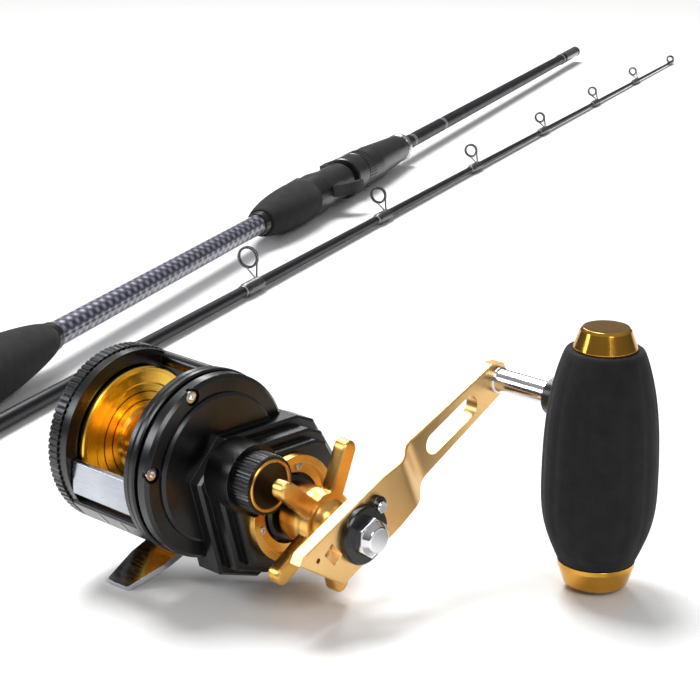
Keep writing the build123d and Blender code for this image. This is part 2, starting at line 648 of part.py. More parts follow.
with BuildPart() as arm:
    with BuildSketch(arm_profile(arm_w / 2 + 4.0)):
        with BuildLine():
            Line((-heel, hub_x), (bend_start, hub_x))
            Spline((bend_start, hub_x), ((bend_start + bend_end) / 2, hub_x - arm_offset / 2),
                   (bend_end, end_x), tangents=((1, 0), (1, 0)))
            Line((bend_end, end_x), (arm_length + 8.0, end_x))
            Line((arm_length + 8.0, end_x), (arm_length + 8.0, end_x + arm_t))
            Line((arm_length + 8.0, end_x + arm_t), (bend_end, end_x + arm_t))
            Spline((bend_end, end_x + arm_t), ((bend_start + bend_end) / 2, nut_x - arm_offset / 2),
                   (bend_start, nut_x), tangents=((-1, 0), (-1, 0)))
            Line((bend_start, nut_x), (-heel, nut_x))
            Line((-heel, nut_x), (-heel, hub_x))
        make_face()
    extrude(amount=arm_w + 8.0)
    with BuildSketch(arm_face(end_x - 2.0)):
        with BuildLine():
            Polyline(
                (-heel, arm_w / 2 - 2.0), (-heel + 3.0, arm_w / 2), (16.0, arm_w / 2),
                (bend_end, arm_w / 2 - 2.6), (arm_length, arm_tip_w / 2),
                (arm_length + 5.2, arm_tip_w / 2 - 3.0), (arm_length + 5.2, 3.0 - arm_tip_w / 2),
                (arm_length, -arm_tip_w / 2),
                (bend_end, 2.6 - arm_w / 2), (16.0, -arm_w / 2), (-heel + 13.0, -arm_w / 2),
                close=True,
            )
        make_face()
        long_hole_start = bend_end + 4.0
        long_hole = arm_length - 12.0 - long_hole_start
        with Locations((long_hole_start + long_hole / 2, 0)):
            SlotOverall(long_hole, arm_tip_w - 5.0, mode=Mode.SUBTRACT)
        with Locations((-13.5, 2.5)):
            Rectangle(4.6, 7.0, rotation=18, mode=Mode.SUBTRACT)
        with Locations((-19.8, 5.4)):
            Circle(0.9, mode=Mode.SUBTRACT)
        Circle(drive_r + seat_gap, mode=Mode.SUBTRACT)
        with Locations((arm_length, 0)):
            Circle(stem_r - 1.2, mode=Mode.SUBTRACT)
    extrude(amount=arm_t + arm_offset + 4.0, mode=Mode.INTERSECT)
    rims = arm.faces().filter_by(Axis.X).group_by(Axis.X)[-1].sort_by(SortBy.AREA)[-1]
    chamfer(rims.outer_wire().edges(), 0.5)
finish(arm, "handle_arm", "reel")

# black nut retainer with a screwed lobe, and the domed nut
retainer_t = 2.4
retainer_r = 10.2
lobe_out = 10.6
with BuildPart() as retainer:
    with BuildSketch(arm_face(nut_x + seat_gap)):
        Circle(retainer_r)
        with Locations((lobe_out * cos(radians(28)), lobe_out * sin(radians(28)))):
            Circle(3.4)
            Circle(1.1 + seat_gap, mode=Mode.SUBTRACT)
        RegularPolygon(7.0 + 0.1, 6, mode=Mode.SUBTRACT)
    extrude(amount=retainer_t)
    chamfer(retainer.faces().sort_by(Axis.X)[-1].outer_wire().edges(), 0.6)
finish(retainer, "nut_retainer", "reel")

with BuildPart() as retainer_screw:
    with BuildSketch(arm_face(nut_x + 2 * seat_gap)):
        with Locations((lobe_out * cos(radians(28)), lobe_out * sin(radians(28)))):
            Circle(1.1)
    extrude(amount=retainer_t)
    with BuildSketch(arm_face(nut_x + retainer_t + 2 * seat_gap)):
        with Locations((lobe_out * cos(radians(28)), lobe_out * sin(radians(28)))):
            Circle(2.1)
    extrude(amount=1.1)
    chamfer(retainer_screw.faces().sort_by(Axis.X)[-1].edges(), 0.35)
finish(retainer_screw, "retainer_screw", "reel")

with BuildPart() as handle_nut:
    with BuildSketch(arm_face(nut_x + seat_gap)):
        RegularPolygon(7.0, 6)
        Circle(drive_r + seat_gap, mode=Mode.SUBTRACT)
    extrude(amount=5.4)
    with BuildSketch(arm_face(nut_x + 5.4 + seat_gap)):
        Circle(5.8)
    extrude(amount=2.6, taper=28)
    fillet(handle_nut.faces().sort_by(Axis.X)[-1].edges(), 1.0)
finish(handle_nut, "handle_nut", "reel")

# ---- Knob: stem, bearings, core, foam grip and two end caps -------------------------------------
stem_y = drive_y + arm_length * arm_out[1]
stem_z = drive_z + arm_length * arm_out[2]
knob_up = (0, sin(radians(knob_tilt)), cos(radians(knob_tilt)))
core_r = 8.6
grip_low = -knob_length / 2 - knob_drop         # ends of the foam grip, along the knob's axis
grip_high = knob_length / 2 - knob_drop


def stem_plane(x):
    """A plane across the knob stem: local x is the reel's Y and local y its Z."""
    return Plane(origin=(x, stem_y, stem_z), x_dir=(0, 1, 0), z_dir=(1, 0, 0))


def knob_plane(height):
    """A plane across the knob's long axis, at a height above the stem."""
    origin = (knob_stem_x, stem_y + height * knob_up[1], stem_z + height * knob_up[2])
    return Plane(origin=origin, x_dir=(1, 0, 0), z_dir=knob_up)


knob_axis = Axis((knob_stem_x, stem_y, stem_z), knob_up)
knob_profile = Plane(origin=(knob_stem_x, stem_y, stem_z), x_dir=(1, 0, 0),
                     z_dir=(0, -knob_up[2], knob_up[1]))
stem_profile = Plane(origin=(0, stem_y, stem_z), x_dir=(1, 0, 0), z_dir=(0, 0, 1))
sleeve_x = knob_stem_x - knob_end_r - 8.0       # inner end of the core's bearing sleeve
stem_end_x = knob_stem_x + 3.0

with BuildPart() as knob_stem:
    with BuildSketch(stem_profile):
        with BuildLine():
            Polyline(
                (end_x - 1.2, 0), (end_x - 1.2, stem_r - 0.4), (end_x - 0.1, stem_r - 0.4),
                (end_x - 0.1, stem_r - 1.2 - seat_gap), (end_x + arm_t + seat_gap, stem_r - 1.2 - seat_gap),
                (end_x + arm_t + seat_gap, stem_r + 0.5), (end_x + arm_t + 1.4, stem_r + 0.5),
                (end_x + arm_t + 2.0, stem_r), (sleeve_x - 0.6, stem_r), (sleeve_x - 0.3, stem_r - 1.2),
                (stem_end_x, stem_r - 1.2), (stem_end_x, 0), close=True,
            )
        make_face()
    revolve(axis=Axis((0, stem_y, stem_z), (1, 0, 0)))
finish(knob_stem, "knob_stem", "reel")

race_r = 5.2
with BuildPart() as knob_bearings:
    for race_x in (sleeve_x + 0.3, stem_end_x - 3.2):
        with BuildSketch(stem_plane(race_x)):
            Circle(race_r)
            Circle(stem_r - 1.2 + running, mode=Mode.SUBTRACT)
        extrude(amount=2.6)
finish(knob_bearings, "knob_bearings", "reel")

with BuildPart() as knob_core:
    with BuildSketch(knob_plane(grip_low - 2.0)):
        Circle(core_r)
    extrude(amount=knob_length + 4.0)
    with BuildSketch(stem_plane(sleeve_x)):
        Circle(race_r + 1.3)
    extrude(amount=knob_stem_x - sleeve_x)
    with BuildSketch(stem_plane(sleeve_x - 1.0)):
        Circle(race_r + seat_gap)
    extrude(amount=stem_end_x - sleeve_x + 1.6, mode=Mode.SUBTRACT)
finish(knob_core, "knob_core", "reel")

with BuildPart() as knob_grip:
    with BuildSketch(knob_profile):
        with BuildLine():
            belly = grip_low + 0.38 * knob_length
            Spline((knob_end_r + 0.6, grip_low + 1.2), (knob_r, belly), (knob_end_r + 0.6, grip_high - 1.2),
                   tangents=((0.5, 1.0), (-0.5, 1.0)))
            Line((knob_end_r + 0.6, grip_high - 1.2), (knob_end_r - 0.6, grip_high))
            Line((knob_end_r - 0.6, grip_high), (core_r + seat_gap, grip_high))
            Line((core_r + seat_gap, grip_high), (core_r + seat_gap, grip_low))
            Line((core_r + seat_gap, grip_low), (knob_end_r - 0.6, grip_low))
            Line((knob_end_r - 0.6, grip_low), (knob_end_r + 0.6, grip_low + 1.2))
        make_face()
    revolve(axis=knob_axis)
    with BuildSketch(stem_plane(sleeve_x - 12.0)):
        Circle(race_r + 1.3 + seat_gap)
    extrude(amount=knob_stem_x - sleeve_x + 8.5, mode=Mode.SUBTRACT)
finish(knob_grip, "knob_grip", "reel")

with BuildPart() as top_cap:
    with BuildSketch(knob_profile):
        with BuildLine():
            top = grip_high + seat_gap
            Polyline((0, grip_high + 2.0 + seat_gap), (core_r + seat_gap, grip_high + 2.0 + seat_gap),
                     (core_r + seat_gap, top), (10.8, top), (10.8, top + 0.8), (8.6, top + top_cap_h - 0.9),
                     (7.8, top + top_cap_h), (0, top + top_cap_h), close=True)
        make_face()
    revolve(axis=knob_axis)
finish(top_cap, "knob_top_cap", "reel")

with BuildPart() as bottom_cap:
    with BuildSketch(knob_profile):
        with BuildLine():
            low = grip_low - seat_gap
            Polyline((0, grip_low - 2.0 - seat_gap), (core_r + seat_gap, grip_low - 2.0 - seat_gap),
                     (core_r + seat_gap, low), (knob_end_r, low), (knob_end_r, low - 1.6),
                     (knob_end_r - 2.2, low - bottom_cap_h + 1.6),
                     (knob_end_r - 4.0, low - bottom_cap_h + 0.3), (0, low - bottom_cap_h), close=True)
        make_face()
    revolve(axis=knob_axis)
finish(bottom_cap, "knob_bottom_cap", "reel")

# ---- Cast control cap --------------------------------------------------------------------------
cap_base_x = case_face_x + cap_seat_h + seat_gap
with BuildPart() as cast_cap:
    with BuildSketch(spool_plane(cap_base_x)):
        Circle(cap_r)
        with PolarLocations(cap_r, 48):
            Rectangle(0.6, 0.7, rotation=45, mode=Mode.SUBTRACT)
    extrude(amount=cap_x - cap_base_x - 0.4)
    with BuildSketch(spool_plane(cap_base_x)):
        Circle(shaft_r + 1.0)
    extrude(amount=2.4, mode=Mode.SUBTRACT)
    with BuildSketch(spool_plane(cap_x - 1.8)):
        Circle(cap_r - 1.2)
    extrude(amount=2.0, mode=Mode.SUBTRACT)
finish(cast_cap, "cast_control_cap", "reel")

with BuildPart() as cap_ring:
    with BuildSketch(spool_plane(cap_x - 1.8 + seat_gap)):
        Circle(cap_r - 1.2 - seat_gap)
        Circle(cap_r - 2.4, mode=Mode.SUBTRACT)
    extrude(amount=2.2)
    chamfer(cap_ring.faces().sort_by(Axis.X)[-1].edges(), 0.3)
finish(cap_ring, "cast_cap_ring", "reel")

with BuildPart() as cap_face:
    with BuildSketch(spool_plane(cap_x - 1.8 + seat_gap)):
        Circle(cap_r - 2.4 - seat_gap)
    extrude(amount=1.4)
finish(cap_face, "cast_cap_face", "reel")

# ---- Rod, butt section: its axis lies along +Y from the butt end, the reel side is +Z -------------
grip_y = 6.0                                    # the end cap comes first
woven_y = grip_y + grip_length + collar_t
rear_grip_y = woven_y + woven_length + collar_t
seat_y = rear_grip_y + rear_grip_length
hood_y = seat_y + 66.0                          # rear face of the moving hood
hood_length = 20.0
nut_y = hood_y + hood_length
fore_ring_y = seat_y + seat_length + fore_grip_length
butt_length = fore_ring_y + hood_travel + fore_blank_length
tube_t = 1.3
pad_z = 8.2                                     # flat of the seat where the reel foot lies
foot_room = foot_t + 1.4                        # height of the pockets that take the foot's ends


def section_plane(y, height):
    """A plane across a rod section at y, facing its front end, centred at a height above its axis."""
    return Plane(origin=(0, y, height), x_dir=(1, 0, 0), z_dir=(0, 1, 0))


def butt_radius(y):
    """Outside radius of the tapered butt blank at y."""
    return butt_blank_r + (butt_front_r - butt_blank_r) * y / butt_length


def sleeve_profile(y, length, rear_r, front_r, bevel=0.2):
    """Half section of a sleeve on the butt blank, with its two outer ends bevelled."""
    with BuildSketch(Plane.YX) as profile:
        with BuildLine():
            Polyline(
                (y, butt_radius(y) + seat_gap), (y, rear_r - bevel), (y + bevel, rear_r),
                (y + length - bevel, front_r), (y + length, front_r - bevel),
                (y + length, butt_radius(y + length) + seat_gap), close=True,
            )
        make_face()
    return profile.sketch


with BuildPart() as butt_blank:
    with BuildSketch(Plane.YX):
        with BuildLine():
            Polyline(
                (2.0, butt_radius(2.0) - tube_t), (2.0, butt_radius(2.0)), (butt_length, butt_front_r),
                (butt_length, ferrule_r), (butt_length - ferrule_depth, ferrule_r),
                (butt_length - ferrule_depth - 6.0, butt_radius(butt_length - ferrule_depth) - tube_t),
                close=True,
            )
        make_face()
    revolve(axis=Axis.Y)
finish(butt_blank, "butt_blank", "butt section")

with BuildPart() as butt_cap:
    with BuildSketch(Plane.YX):
        with BuildLine():
            Polyline((0, 0), (0, grip_r - 4.0), (2.0, grip_r - 1.4), (grip_y - seat_gap, grip_r - 0.8),
                     (grip_y - seat_gap, butt_blank_r + seat_gap), (2.0 - seat_gap, butt_blank_r + seat_gap),
                     (2.0 - seat_gap, 0), close=True)
        make_face()
    revolve(axis=Axis.Y)
finish(butt_cap, "butt_cap", "butt section")

with BuildPart() as butt_grip:
    with BuildSketch(Plane.YX):
        with BuildLine():
            grip_end = grip_y + grip_length
            grip_bore_end = (grip_end, butt_radius(grip_end) + seat_gap)
            Line((grip_y, butt_radius(grip_y) + seat_gap), (grip_y, grip_r - 0.6))
            Spline((grip_y, grip_r - 0.6), (grip_y + 40.0, grip_r), (grip_end - 34.0, grip_r - 2.8),
                   (grip_end - 1.0, grip_nose_r), tangents=((1, 0.05), (1, -0.22)))
            Line((grip_end - 1.0, grip_nose_r), (grip_end, grip_nose_r - 0.8))
            Line((grip_end, grip_nose_r - 0.8), grip_bore_end)
            Line(grip_bore_end, (grip_y, butt_radius(grip_y) + seat_gap))
        make_face()
    revolve(axis=Axis.Y)
finish(butt_grip, "butt_grip", "butt section")

with BuildPart() as butt_collar:
    collar_y = grip_y + grip_length + seat_gap
    collar_r = butt_radius(collar_y) + collar_wall
    add(sleeve_profile(collar_y, collar_t - 2 * seat_gap, collar_r + 0.4, collar_r, 0.5))
    revolve(axis=Axis.Y)
finish(butt_collar, "butt_collar", "butt section")

with BuildPart() as woven_sleeve:
    woven_end_r = butt_radius(woven_y + woven_length) + 0.5
    add(sleeve_profile(woven_y, woven_length, butt_radius(woven_y) + 0.5, woven_end_r))
    revolve(axis=Axis.Y)
finish(woven_sleeve, "woven_sleeve", "butt section")

with BuildPart() as rear_collar:
    rear_collar_y = rear_grip_y - collar_t + seat_gap
    rear_collar_r = butt_radius(rear_collar_y) + collar_wall
    add(sleeve_profile(rear_collar_y, collar_t - 2 * seat_gap, rear_collar_r, rear_collar_r + 0.6, 0.5))
    revolve(axis=Axis.Y)
finish(rear_collar, "rear_collar", "butt section")

with BuildPart() as rear_grip:
    with BuildSketch(Plane.YX):
        with BuildLine():
            rear_grip_end = rear_grip_y + rear_grip_length - seat_gap
            Line((rear_grip_y, butt_radius(rear_grip_y) + seat_gap), (rear_grip_y, rear_nose_r))
            Spline((rear_grip_y, rear_nose_r), (rear_grip_y + 26.0, seat_r),
                   (rear_grip_y + 52.0, seat_r + 0.9), (rear_grip_end, seat_r),
                   tangents=((0.9, 0.5), (1, -0.12)))
            Line((rear_grip_end, seat_r), (rear_grip_end, butt_radius(rear_grip_end) + seat_gap))
            Line((rear_grip_end, butt_radius(rear_grip_end) + seat_gap),
                 (rear_grip_y, butt_radius(rear_grip_y) + seat_gap))
        make_face()
    revolve(axis=Axis.Y)
finish(rear_grip, "rear_grip", "butt section")

# reel seat: tapered body with a fixed rear hood, a flat pad, a threaded barrel and the trigger
trigger_w = 7.0
barrel_end_y = seat_y + seat_length + 20.0
with BuildPart() as reel_seat:
    with BuildSketch(Plane.YX):
        with BuildLine():
            Polyline(
                (seat_y, butt_radius(seat_y) + seat_gap), (seat_y, seat_r), (seat_y + 16.0, seat_r + 0.6),
                (seat_y + 34.0, seat_r - 0.8), (hood_y - 6.0, seat_r - 1.0), (hood_y - 4.0, barrel_r),
                (barrel_end_y, barrel_r), (barrel_end_y, butt_radius(barrel_end_y) + seat_gap),
                close=True,
            )
        make_face()
    revolve(axis=Axis.Y)
    # fixed hood: a hump on the reel side, with the pocket for the rear tab of the foot
    with BuildSketch(Plane.YZ.offset(-9.5)):
        with BuildLine():
            Polyline((seat_y + 1.0, 4.0), (seat_y + 4.0, seat_r + 1.6), (seat_y + 20.0, seat_r + 2.6),
                     (seat_y + 23.0, seat_r + 1.4), (seat_y + 23.0, 4.0), close=True)
        make_face()
    extrude(amount=19.0)
    fillet(reel_seat.edges().filter_by(Axis.Y, tolerance=40).group_by(Axis.Z)[-1], 3.0)
    with BuildSketch(section_plane(seat_y + 8.0, pad_z + foot_room / 2)):
        RectangleRounded(15.0, foot_room, 1.2)
    extrude(amount=20.0, mode=Mode.SUBTRACT)
    # flat pad between the hoods
    with BuildSketch(Plane.YZ.offset(-20.0)):
        with Locations((seat_y + 23.0 + 60.0, pad_z + 10.0)):
            Rectangle(120.0, 20.0)
    extrude(amount=40.0, mode=Mode.SUBTRACT)
    # trigger: a curved finger hook on the side away from the reel
    with BuildSketch(Plane.YZ.offset(-trigger_w / 2)):
        with BuildLine():
            Line((seat_y + 18.0, -8.0), (seat_y + 20.0, -seat_r - 2.0))
            Spline((seat_y + 20.0, -seat_r - 2.0), (seat_y + 25.0, -seat_r - 9.0),
                   (seat_y + 36.0, -seat_r - 14.0), tangents=((0.3, -1), (1, -0.2)))
            Line((seat_y + 36.0, -seat_r - 14.0), (seat_y + 38.0, -seat_r - 11.6))
            Spline((seat_y + 38.0, -seat_r - 11.6), (seat_y + 33.0, -seat_r - 6.0),
                   (seat_y + 44.0, -8.0), tangents=((-1, 0.3), (1, 0.35)))
            Line((seat_y + 44.0, -8.0), (seat_y + 18.0, -8.0))
        make_face()
    extrude(amount=trigger_w)
    with BuildSketch(Plane.XZ.offset(-seat_y + 1.0)):
        Circle(butt_radius(seat_y) + seat_gap)
    extrude(amount=-(seat_length + 22.0), mode=Mode.SUBTRACT)
finish(reel_seat, "reel_seat", "butt section")

with BuildPart() as moving_hood:
    with BuildSketch(Plane.YX):
        with BuildLine():
            Polyline((hood_y, barrel_r + running), (hood_y, seat_r + 0.2), (hood_y + 1.0, seat_r + 0.8),
                     (nut_y - 0.1, seat_r + 0.4), (nut_y - 0.1, barrel_r + running), close=True)
        make_face()
    revolve(axis=Axis.Y)
    with BuildSketch(Plane.YZ.offset(-9.0)):
        with BuildLine():
            Polyline((hood_y, 5.0), (hood_y, seat_r + 1.6), (hood_y + 12.0, seat_r + 2.4),
                     (nut_y - 1.0, seat_r + 0.6), (nut_y - 1.0, 5.0), close=True)
        make_face()
    extrude(amount=18.0)
    with BuildSketch(Plane.XZ.offset(-hood_y + 1.0)):
        Circle(barrel_r + running)
    extrude(amount=-(hood_length + 2.0), mode=Mode.SUBTRACT)
    with BuildSketch(section_plane(hood_y - 1.0, pad_z + 1.0 + foot_room / 2)):
        RectangleRounded(15.0, foot_room, 1.2)
    extrude(amount=13.0, mode=Mode.SUBTRACT)
finish(moving_hood, "moving_hood", "butt section")

# long seat nut that is also the fore grip: knurled band, smooth taper, silver ring at its end
nut_thread_end = barrel_end_y + hood_travel + 1.0
nut_front_y = fore_ring_y - 6.0
blank_room_r = butt_radius(nut_y) + 0.2
with BuildPart() as seat_nut:
    with BuildSketch(Plane.YX):
        with BuildLine():
            Polyline(
                (nut_y + 0.1, barrel_r + running), (nut_y + 0.1, seat_r), (nut_y + 1.0, seat_r + 0.6),
                (nut_y + 13.0, seat_r + 0.6), (nut_y + 14.0, seat_r - 0.4), (nut_y + 30.0, seat_r),
                (fore_ring_y - 12.0, seat_r - 2.8), (nut_front_y, seat_r - 3.4),
                (nut_front_y, blank_room_r), (nut_thread_end, blank_room_r),
                (nut_thread_end, barrel_r + running), close=True,
            )
        make_face()
    revolve(axis=Axis.Y)
    with BuildSketch(Plane.XZ.offset(-nut_y - 2.0)):
        Circle(seat_r + 2.0)
        Circle(seat_r + 0.2, mode=Mode.SUBTRACT)
        with PolarLocations(seat_r + 0.6, 40):
            Circle(0.65, mode=Mode.SUBTRACT)
    extrude(amount=-10.0, mode=Mode.SUBTRACT)
finish(seat_nut, "seat_nut", "butt section")

with BuildPart() as fore_ring:
    with BuildSketch(Plane.YX):
        with BuildLine():
            Polyline(
                (nut_front_y + seat_gap, blank_room_r), (nut_front_y + seat_gap, seat_r - 3.2),
                (fore_ring_y - 4.6, seat_r - 2.6), (fore_ring_y - 1.6, seat_r - 2.6),
                (fore_ring_y, seat_r - 3.6), (fore_ring_y, blank_room_r), close=True,
            )
        make_face()
    revolve(axis=Axis.Y)
finish(fore_ring, "fore_ring", "butt section")

with BuildPart() as ferrule_wrap:
    wrap_y = butt_length - 46.0
    wrap_end_r = butt_radius(wrap_y + 40.0) + winding_t
    add(sleeve_profile(wrap_y, 40.0, butt_radius(wrap_y) + winding_t, wrap_end_r))
    revolve(axis=Axis.Y)
finish(ferrule_wrap, "ferrule_winding", "butt section")

# ---- Rod, tip section: its axis lies along +Y and y = 0 is the rear end of the blank --------------


def tip_radius(y):
    """Radius of the solid tapered tip blank at y."""
    return tip_rear_r + (tip_front_r - tip_rear_r) * y / tip_length


with BuildPart() as tip_blank:
    with BuildSketch(Plane.YX):
        with BuildLine():
            Polyline((0, 0), (0, tip_rear_r - 0.3), (0.3, tip_rear_r), (tip_length, tip_front_r),
                     (tip_length, 0), close=True)
        make_face()
    revolve(axis=Axis.Y)
    with BuildSketch(Plane.XZ.offset(0.5)):
        Circle(spigot_root_r + seat_gap)
    extrude(amount=-(spigot_root_length + 1.0), mode=Mode.SUBTRACT)
finish(tip_blank, "tip_blank", "tip section")

with BuildPart() as spigot:
    with BuildSketch(Plane.XZ.offset(spigot_length)):
        Circle(ferrule_r - spigot_gap)
    extrude(amount=-(spigot_length - seat_gap))
    chamfer(spigot.faces().sort_by(Axis.Y)[0].edges(), spigot_chamfer)
    with BuildSketch(Plane.XZ.offset(spigot_length / 2)):
        Circle(spigot_root_r)
    extrude(amount=-(spigot_length / 2 + spigot_root_length))
finish(spigot, "ferrule_spigot", "tip section")


def guide_height(bore):
    """Height of a guide's ring centre above the blank's axis line, from its bore."""
    return 2.0 * bore + 3.2


def guide_rim(bore):
    """Outside radius of a guide's metal rim."""
    return bore + 1.3


guides = []
for distance, bore in zip(guide_from_tip, guide_bore_r):
    guides.append((tip_length - distance, bore))

with BuildPart() as guide_frames:
    for guide_y, bore in guides:
        base = tip_radius(guide_y)
        centre_z = base + guide_height(bore)
        rim = guide_rim(bore)
        foot_length = 11.0 + 1.6 * bore
        with BuildSketch(section_plane(guide_y - 0.6, centre_z)):
            Circle(rim)
            Circle(bore + 0.6 + seat_gap, mode=Mode.SUBTRACT)
        extrude(amount=1.2)
        # two legs run down and back from the rim to the foot on the blank
        for side in (-1, 1):
            start = Vector(side * (rim - 0.5) * 0.86, guide_y, centre_z - (rim - 0.5) * 0.5)
            end = Vector(side * 0.35, guide_y - guide_height(bore) * 0.75, base + 0.35)
            with BuildLine() as leg_line:
                Line(start, end)
            with BuildSketch(Plane(origin=start, z_dir=end - start)):
                Circle(0.5)
            extrude(amount=(end - start).length)
        with BuildSketch(Plane.YZ.offset(-0.8)):
            with BuildLine():
                toe_y = guide_y - guide_height(bore) * 0.75
                heel_y = toe_y - foot_length
                Polyline((toe_y + 1.4, tip_radius(toe_y) + seat_gap), (toe_y + 1.4, base + 0.9),
                         (toe_y - 2.0, base + 0.8), (heel_y, tip_radius(toe_y) + 0.25),
                         (heel_y, tip_radius(heel_y) + seat_gap), close=True)
            make_face()
        extrude(amount=1.6)
        with BuildSketch(Plane.XZ.offset(-guide_y)):
            Circle(tip_radius(guide_y - 40.0) + seat_gap)
        extrude(amount=40.0, mode=Mode.SUBTRACT)
        # seat of the ring, cut clear of the legs
        with BuildSketch(section_plane(guide_y - 2.0, centre_z)):
            Circle(bore + 0.6 + seat_gap)
        extrude(amount=4.0, mode=Mode.SUBTRACT)
finish(guide_frames, "guide_frames", "tip section")

with BuildPart() as guide_rings:
    for guide_y, bore in guides:
        centre_z = tip_radius(guide_y) + guide_height(bore)
        with BuildSketch(section_plane(guide_y - 0.75, centre_z)):
            Circle(bore + 0.6)
            Circle(bore, mode=Mode.SUBTRACT)
        extrude(amount=1.5)
finish(guide_rings, "guide_rings", "tip section")

with BuildPart() as guide_windings:
    for guide_y, bore in guides:
        wrap_end = guide_y - guide_height(bore) * 0.75 - 1.0
        wrap_length = 12.0 + 1.6 * bore
        with BuildSketch(Plane.YX):
            with BuildLine():
                wrap_start = wrap_end - wrap_length
                wrap_r = tip_radius(wrap_end)
                Polyline(
                    (wrap_start, tip_radius(wrap_start) + seat_gap),
                    (wrap_start, tip_radius(wrap_start) + winding_t * 0.5),
                    (wrap_start + 3.0, wrap_r + winding_t * 1.6), (wrap_end - 1.0, wrap_r + winding_t * 2.2),
                    (wrap_end, wrap_r + winding_t), (wrap_end, wrap_r + seat_gap), close=True,
                )
            make_face()
        revolve(axis=Axis.Y)
    add(guide_frames.part, mode=Mode.SUBTRACT)
finish(guide_windings, "guide_windings", "tip section")

tip_bore = 2.0
top_ring_z = 3.0
with BuildPart() as tip_top:
    with BuildSketch(Plane.YX):
        with BuildLine():
            Polyline((tip_length - 12.0, tip_radius(tip_length - 12.0) + seat_gap),
                     (tip_length - 12.0, tip_front_r + 0.5), (tip_length + 2.0, tip_front_r + 0.5),
                     (tip_length + 2.6, 0.5), (tip_length + 2.6, 0), (tip_length + 0.05, 0),
                     (tip_length + 0.05, tip_front_r + seat_gap), close=True)
        make_face()
    revolve(axis=Axis.Y)
    ring_plane = Plane(origin=(0, tip_length + 2.4, top_ring_z), x_dir=(1, 0, 0), z_dir=(0, 1, 0.25))
    with BuildSketch(ring_plane.offset(-0.6)):
        Circle(tip_bore + 1.4)
    extrude(amount=1.2)
    with BuildSketch(ring_plane.offset(-2.0)):
        Circle(tip_bore + 0.6 + seat_gap)
    extrude(amount=4.0, mode=Mode.SUBTRACT)
finish(tip_top, "tip_top", "tip section")

with BuildPart() as tip_top_ring:
    with BuildSketch(ring_plane.offset(-0.75)):
        Circle(tip_bore + 0.6)
        Circle(tip_bore, mode=Mode.SUBTRACT)
    extrude(amount=1.5)
finish(tip_top_ring, "tip_top_ring", "tip section")

# ---- Set the assemblies down -------------------------------------------------------------------


def lowest(group, place):
    """Height of the lowest point of an assembly after it is placed."""
    return min(builder.part.moved(place).bounding_box().min.Z for _, builder in pieces[group])


# the butt section rests on its grip and on its seat nut, the tip section on its whole length
butt_rise = degrees(atan2(grip_r - seat_r - 0.6, nut_y - grip_y - 40.0))
tip_rise = degrees(atan2(tip_rear_r - tip_front_r, tip_length))
turned = {
    "reel": Location((0, 0, 0), reel_turn),
    "butt section": Location((butt_start[0], butt_start[1], 0), (0, 0, butt_yaw))
    * Location((0, 0, 0), (-butt_rise, 0, 0)) * Location((0, 0, 0), (0, butt_roll, 0)),
    "tip section": Location((tip_end[0], tip_end[1] - tip_length, 0), (-tip_rise, 0, 0))
    * Location((0, 0, 0), (0, -tip_roll, 0)),
}
standing = {}
for group, place in turned.items():
    standing[group] = Location((0, 0, -lowest(group, place))) * place

# the origin is on the surface, under the middle of the whole outfit
corners = []
for group, place in standing.items():
    for _, builder in pieces[group]:
        box = builder.part.moved(place).bounding_box()
        corners.append((box.min, box.max))
middle_x = (min(low.X for low, _ in corners) + max(high.X for _, high in corners)) / 2
middle_y = (min(low.Y for low, _ in corners) + max(high.Y for _, high in corners)) / 2
to_origin = Location((-middle_x, -middle_y, 0))
placed = {}
for group, place in standing.items():
    placed[group] = to_origin * place

for group, members in pieces.items():
    for name, builder in members:
        builder.part.location = placed[group] * builder.part.location
        export_step(builder.part, f"parts/{name}.step")
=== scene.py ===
"""Looks of a bait-casting outfit: a star-drag reel with a power handle and the two sections of its rod.

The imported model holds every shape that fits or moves. This script gives each of its pieces the finish
that the real one has, and builds the soft and wound pieces: foam grips, thread wraps and trim bands.
Lengths in the classes are millimetres, as on a drawing, and Place turns them into the frame's metres.
"""

import json
import logging
from abc import ABC, abstractmethod
from collections.abc import Callable
from dataclasses import dataclass, field
from enum import Enum
from math import cos, pi, radians, sin

import bmesh
import bpy
from mathutils import Matrix, Vector
from mathutils.geometry import interpolate_bezier


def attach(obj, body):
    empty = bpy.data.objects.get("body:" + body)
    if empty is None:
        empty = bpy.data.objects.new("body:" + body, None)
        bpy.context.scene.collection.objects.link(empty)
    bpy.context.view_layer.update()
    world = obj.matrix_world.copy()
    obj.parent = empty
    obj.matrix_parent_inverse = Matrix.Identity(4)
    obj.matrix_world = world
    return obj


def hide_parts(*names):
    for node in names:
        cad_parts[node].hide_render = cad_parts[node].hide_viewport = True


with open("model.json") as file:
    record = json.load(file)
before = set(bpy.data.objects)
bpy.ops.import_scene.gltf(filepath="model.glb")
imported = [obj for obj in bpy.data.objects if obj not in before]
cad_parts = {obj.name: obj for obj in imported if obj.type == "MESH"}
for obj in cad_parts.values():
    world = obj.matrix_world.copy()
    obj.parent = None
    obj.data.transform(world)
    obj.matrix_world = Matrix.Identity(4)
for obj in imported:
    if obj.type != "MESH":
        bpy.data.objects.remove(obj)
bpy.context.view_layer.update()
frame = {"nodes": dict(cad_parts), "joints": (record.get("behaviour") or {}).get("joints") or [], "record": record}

log = logging.getLogger("outfit")

MM = 0.001
TURN = 2 * pi
Tree = bpy.types.NodeTree
Socket = bpy.types.NodeSocket
Profile = list[tuple[float, float]]


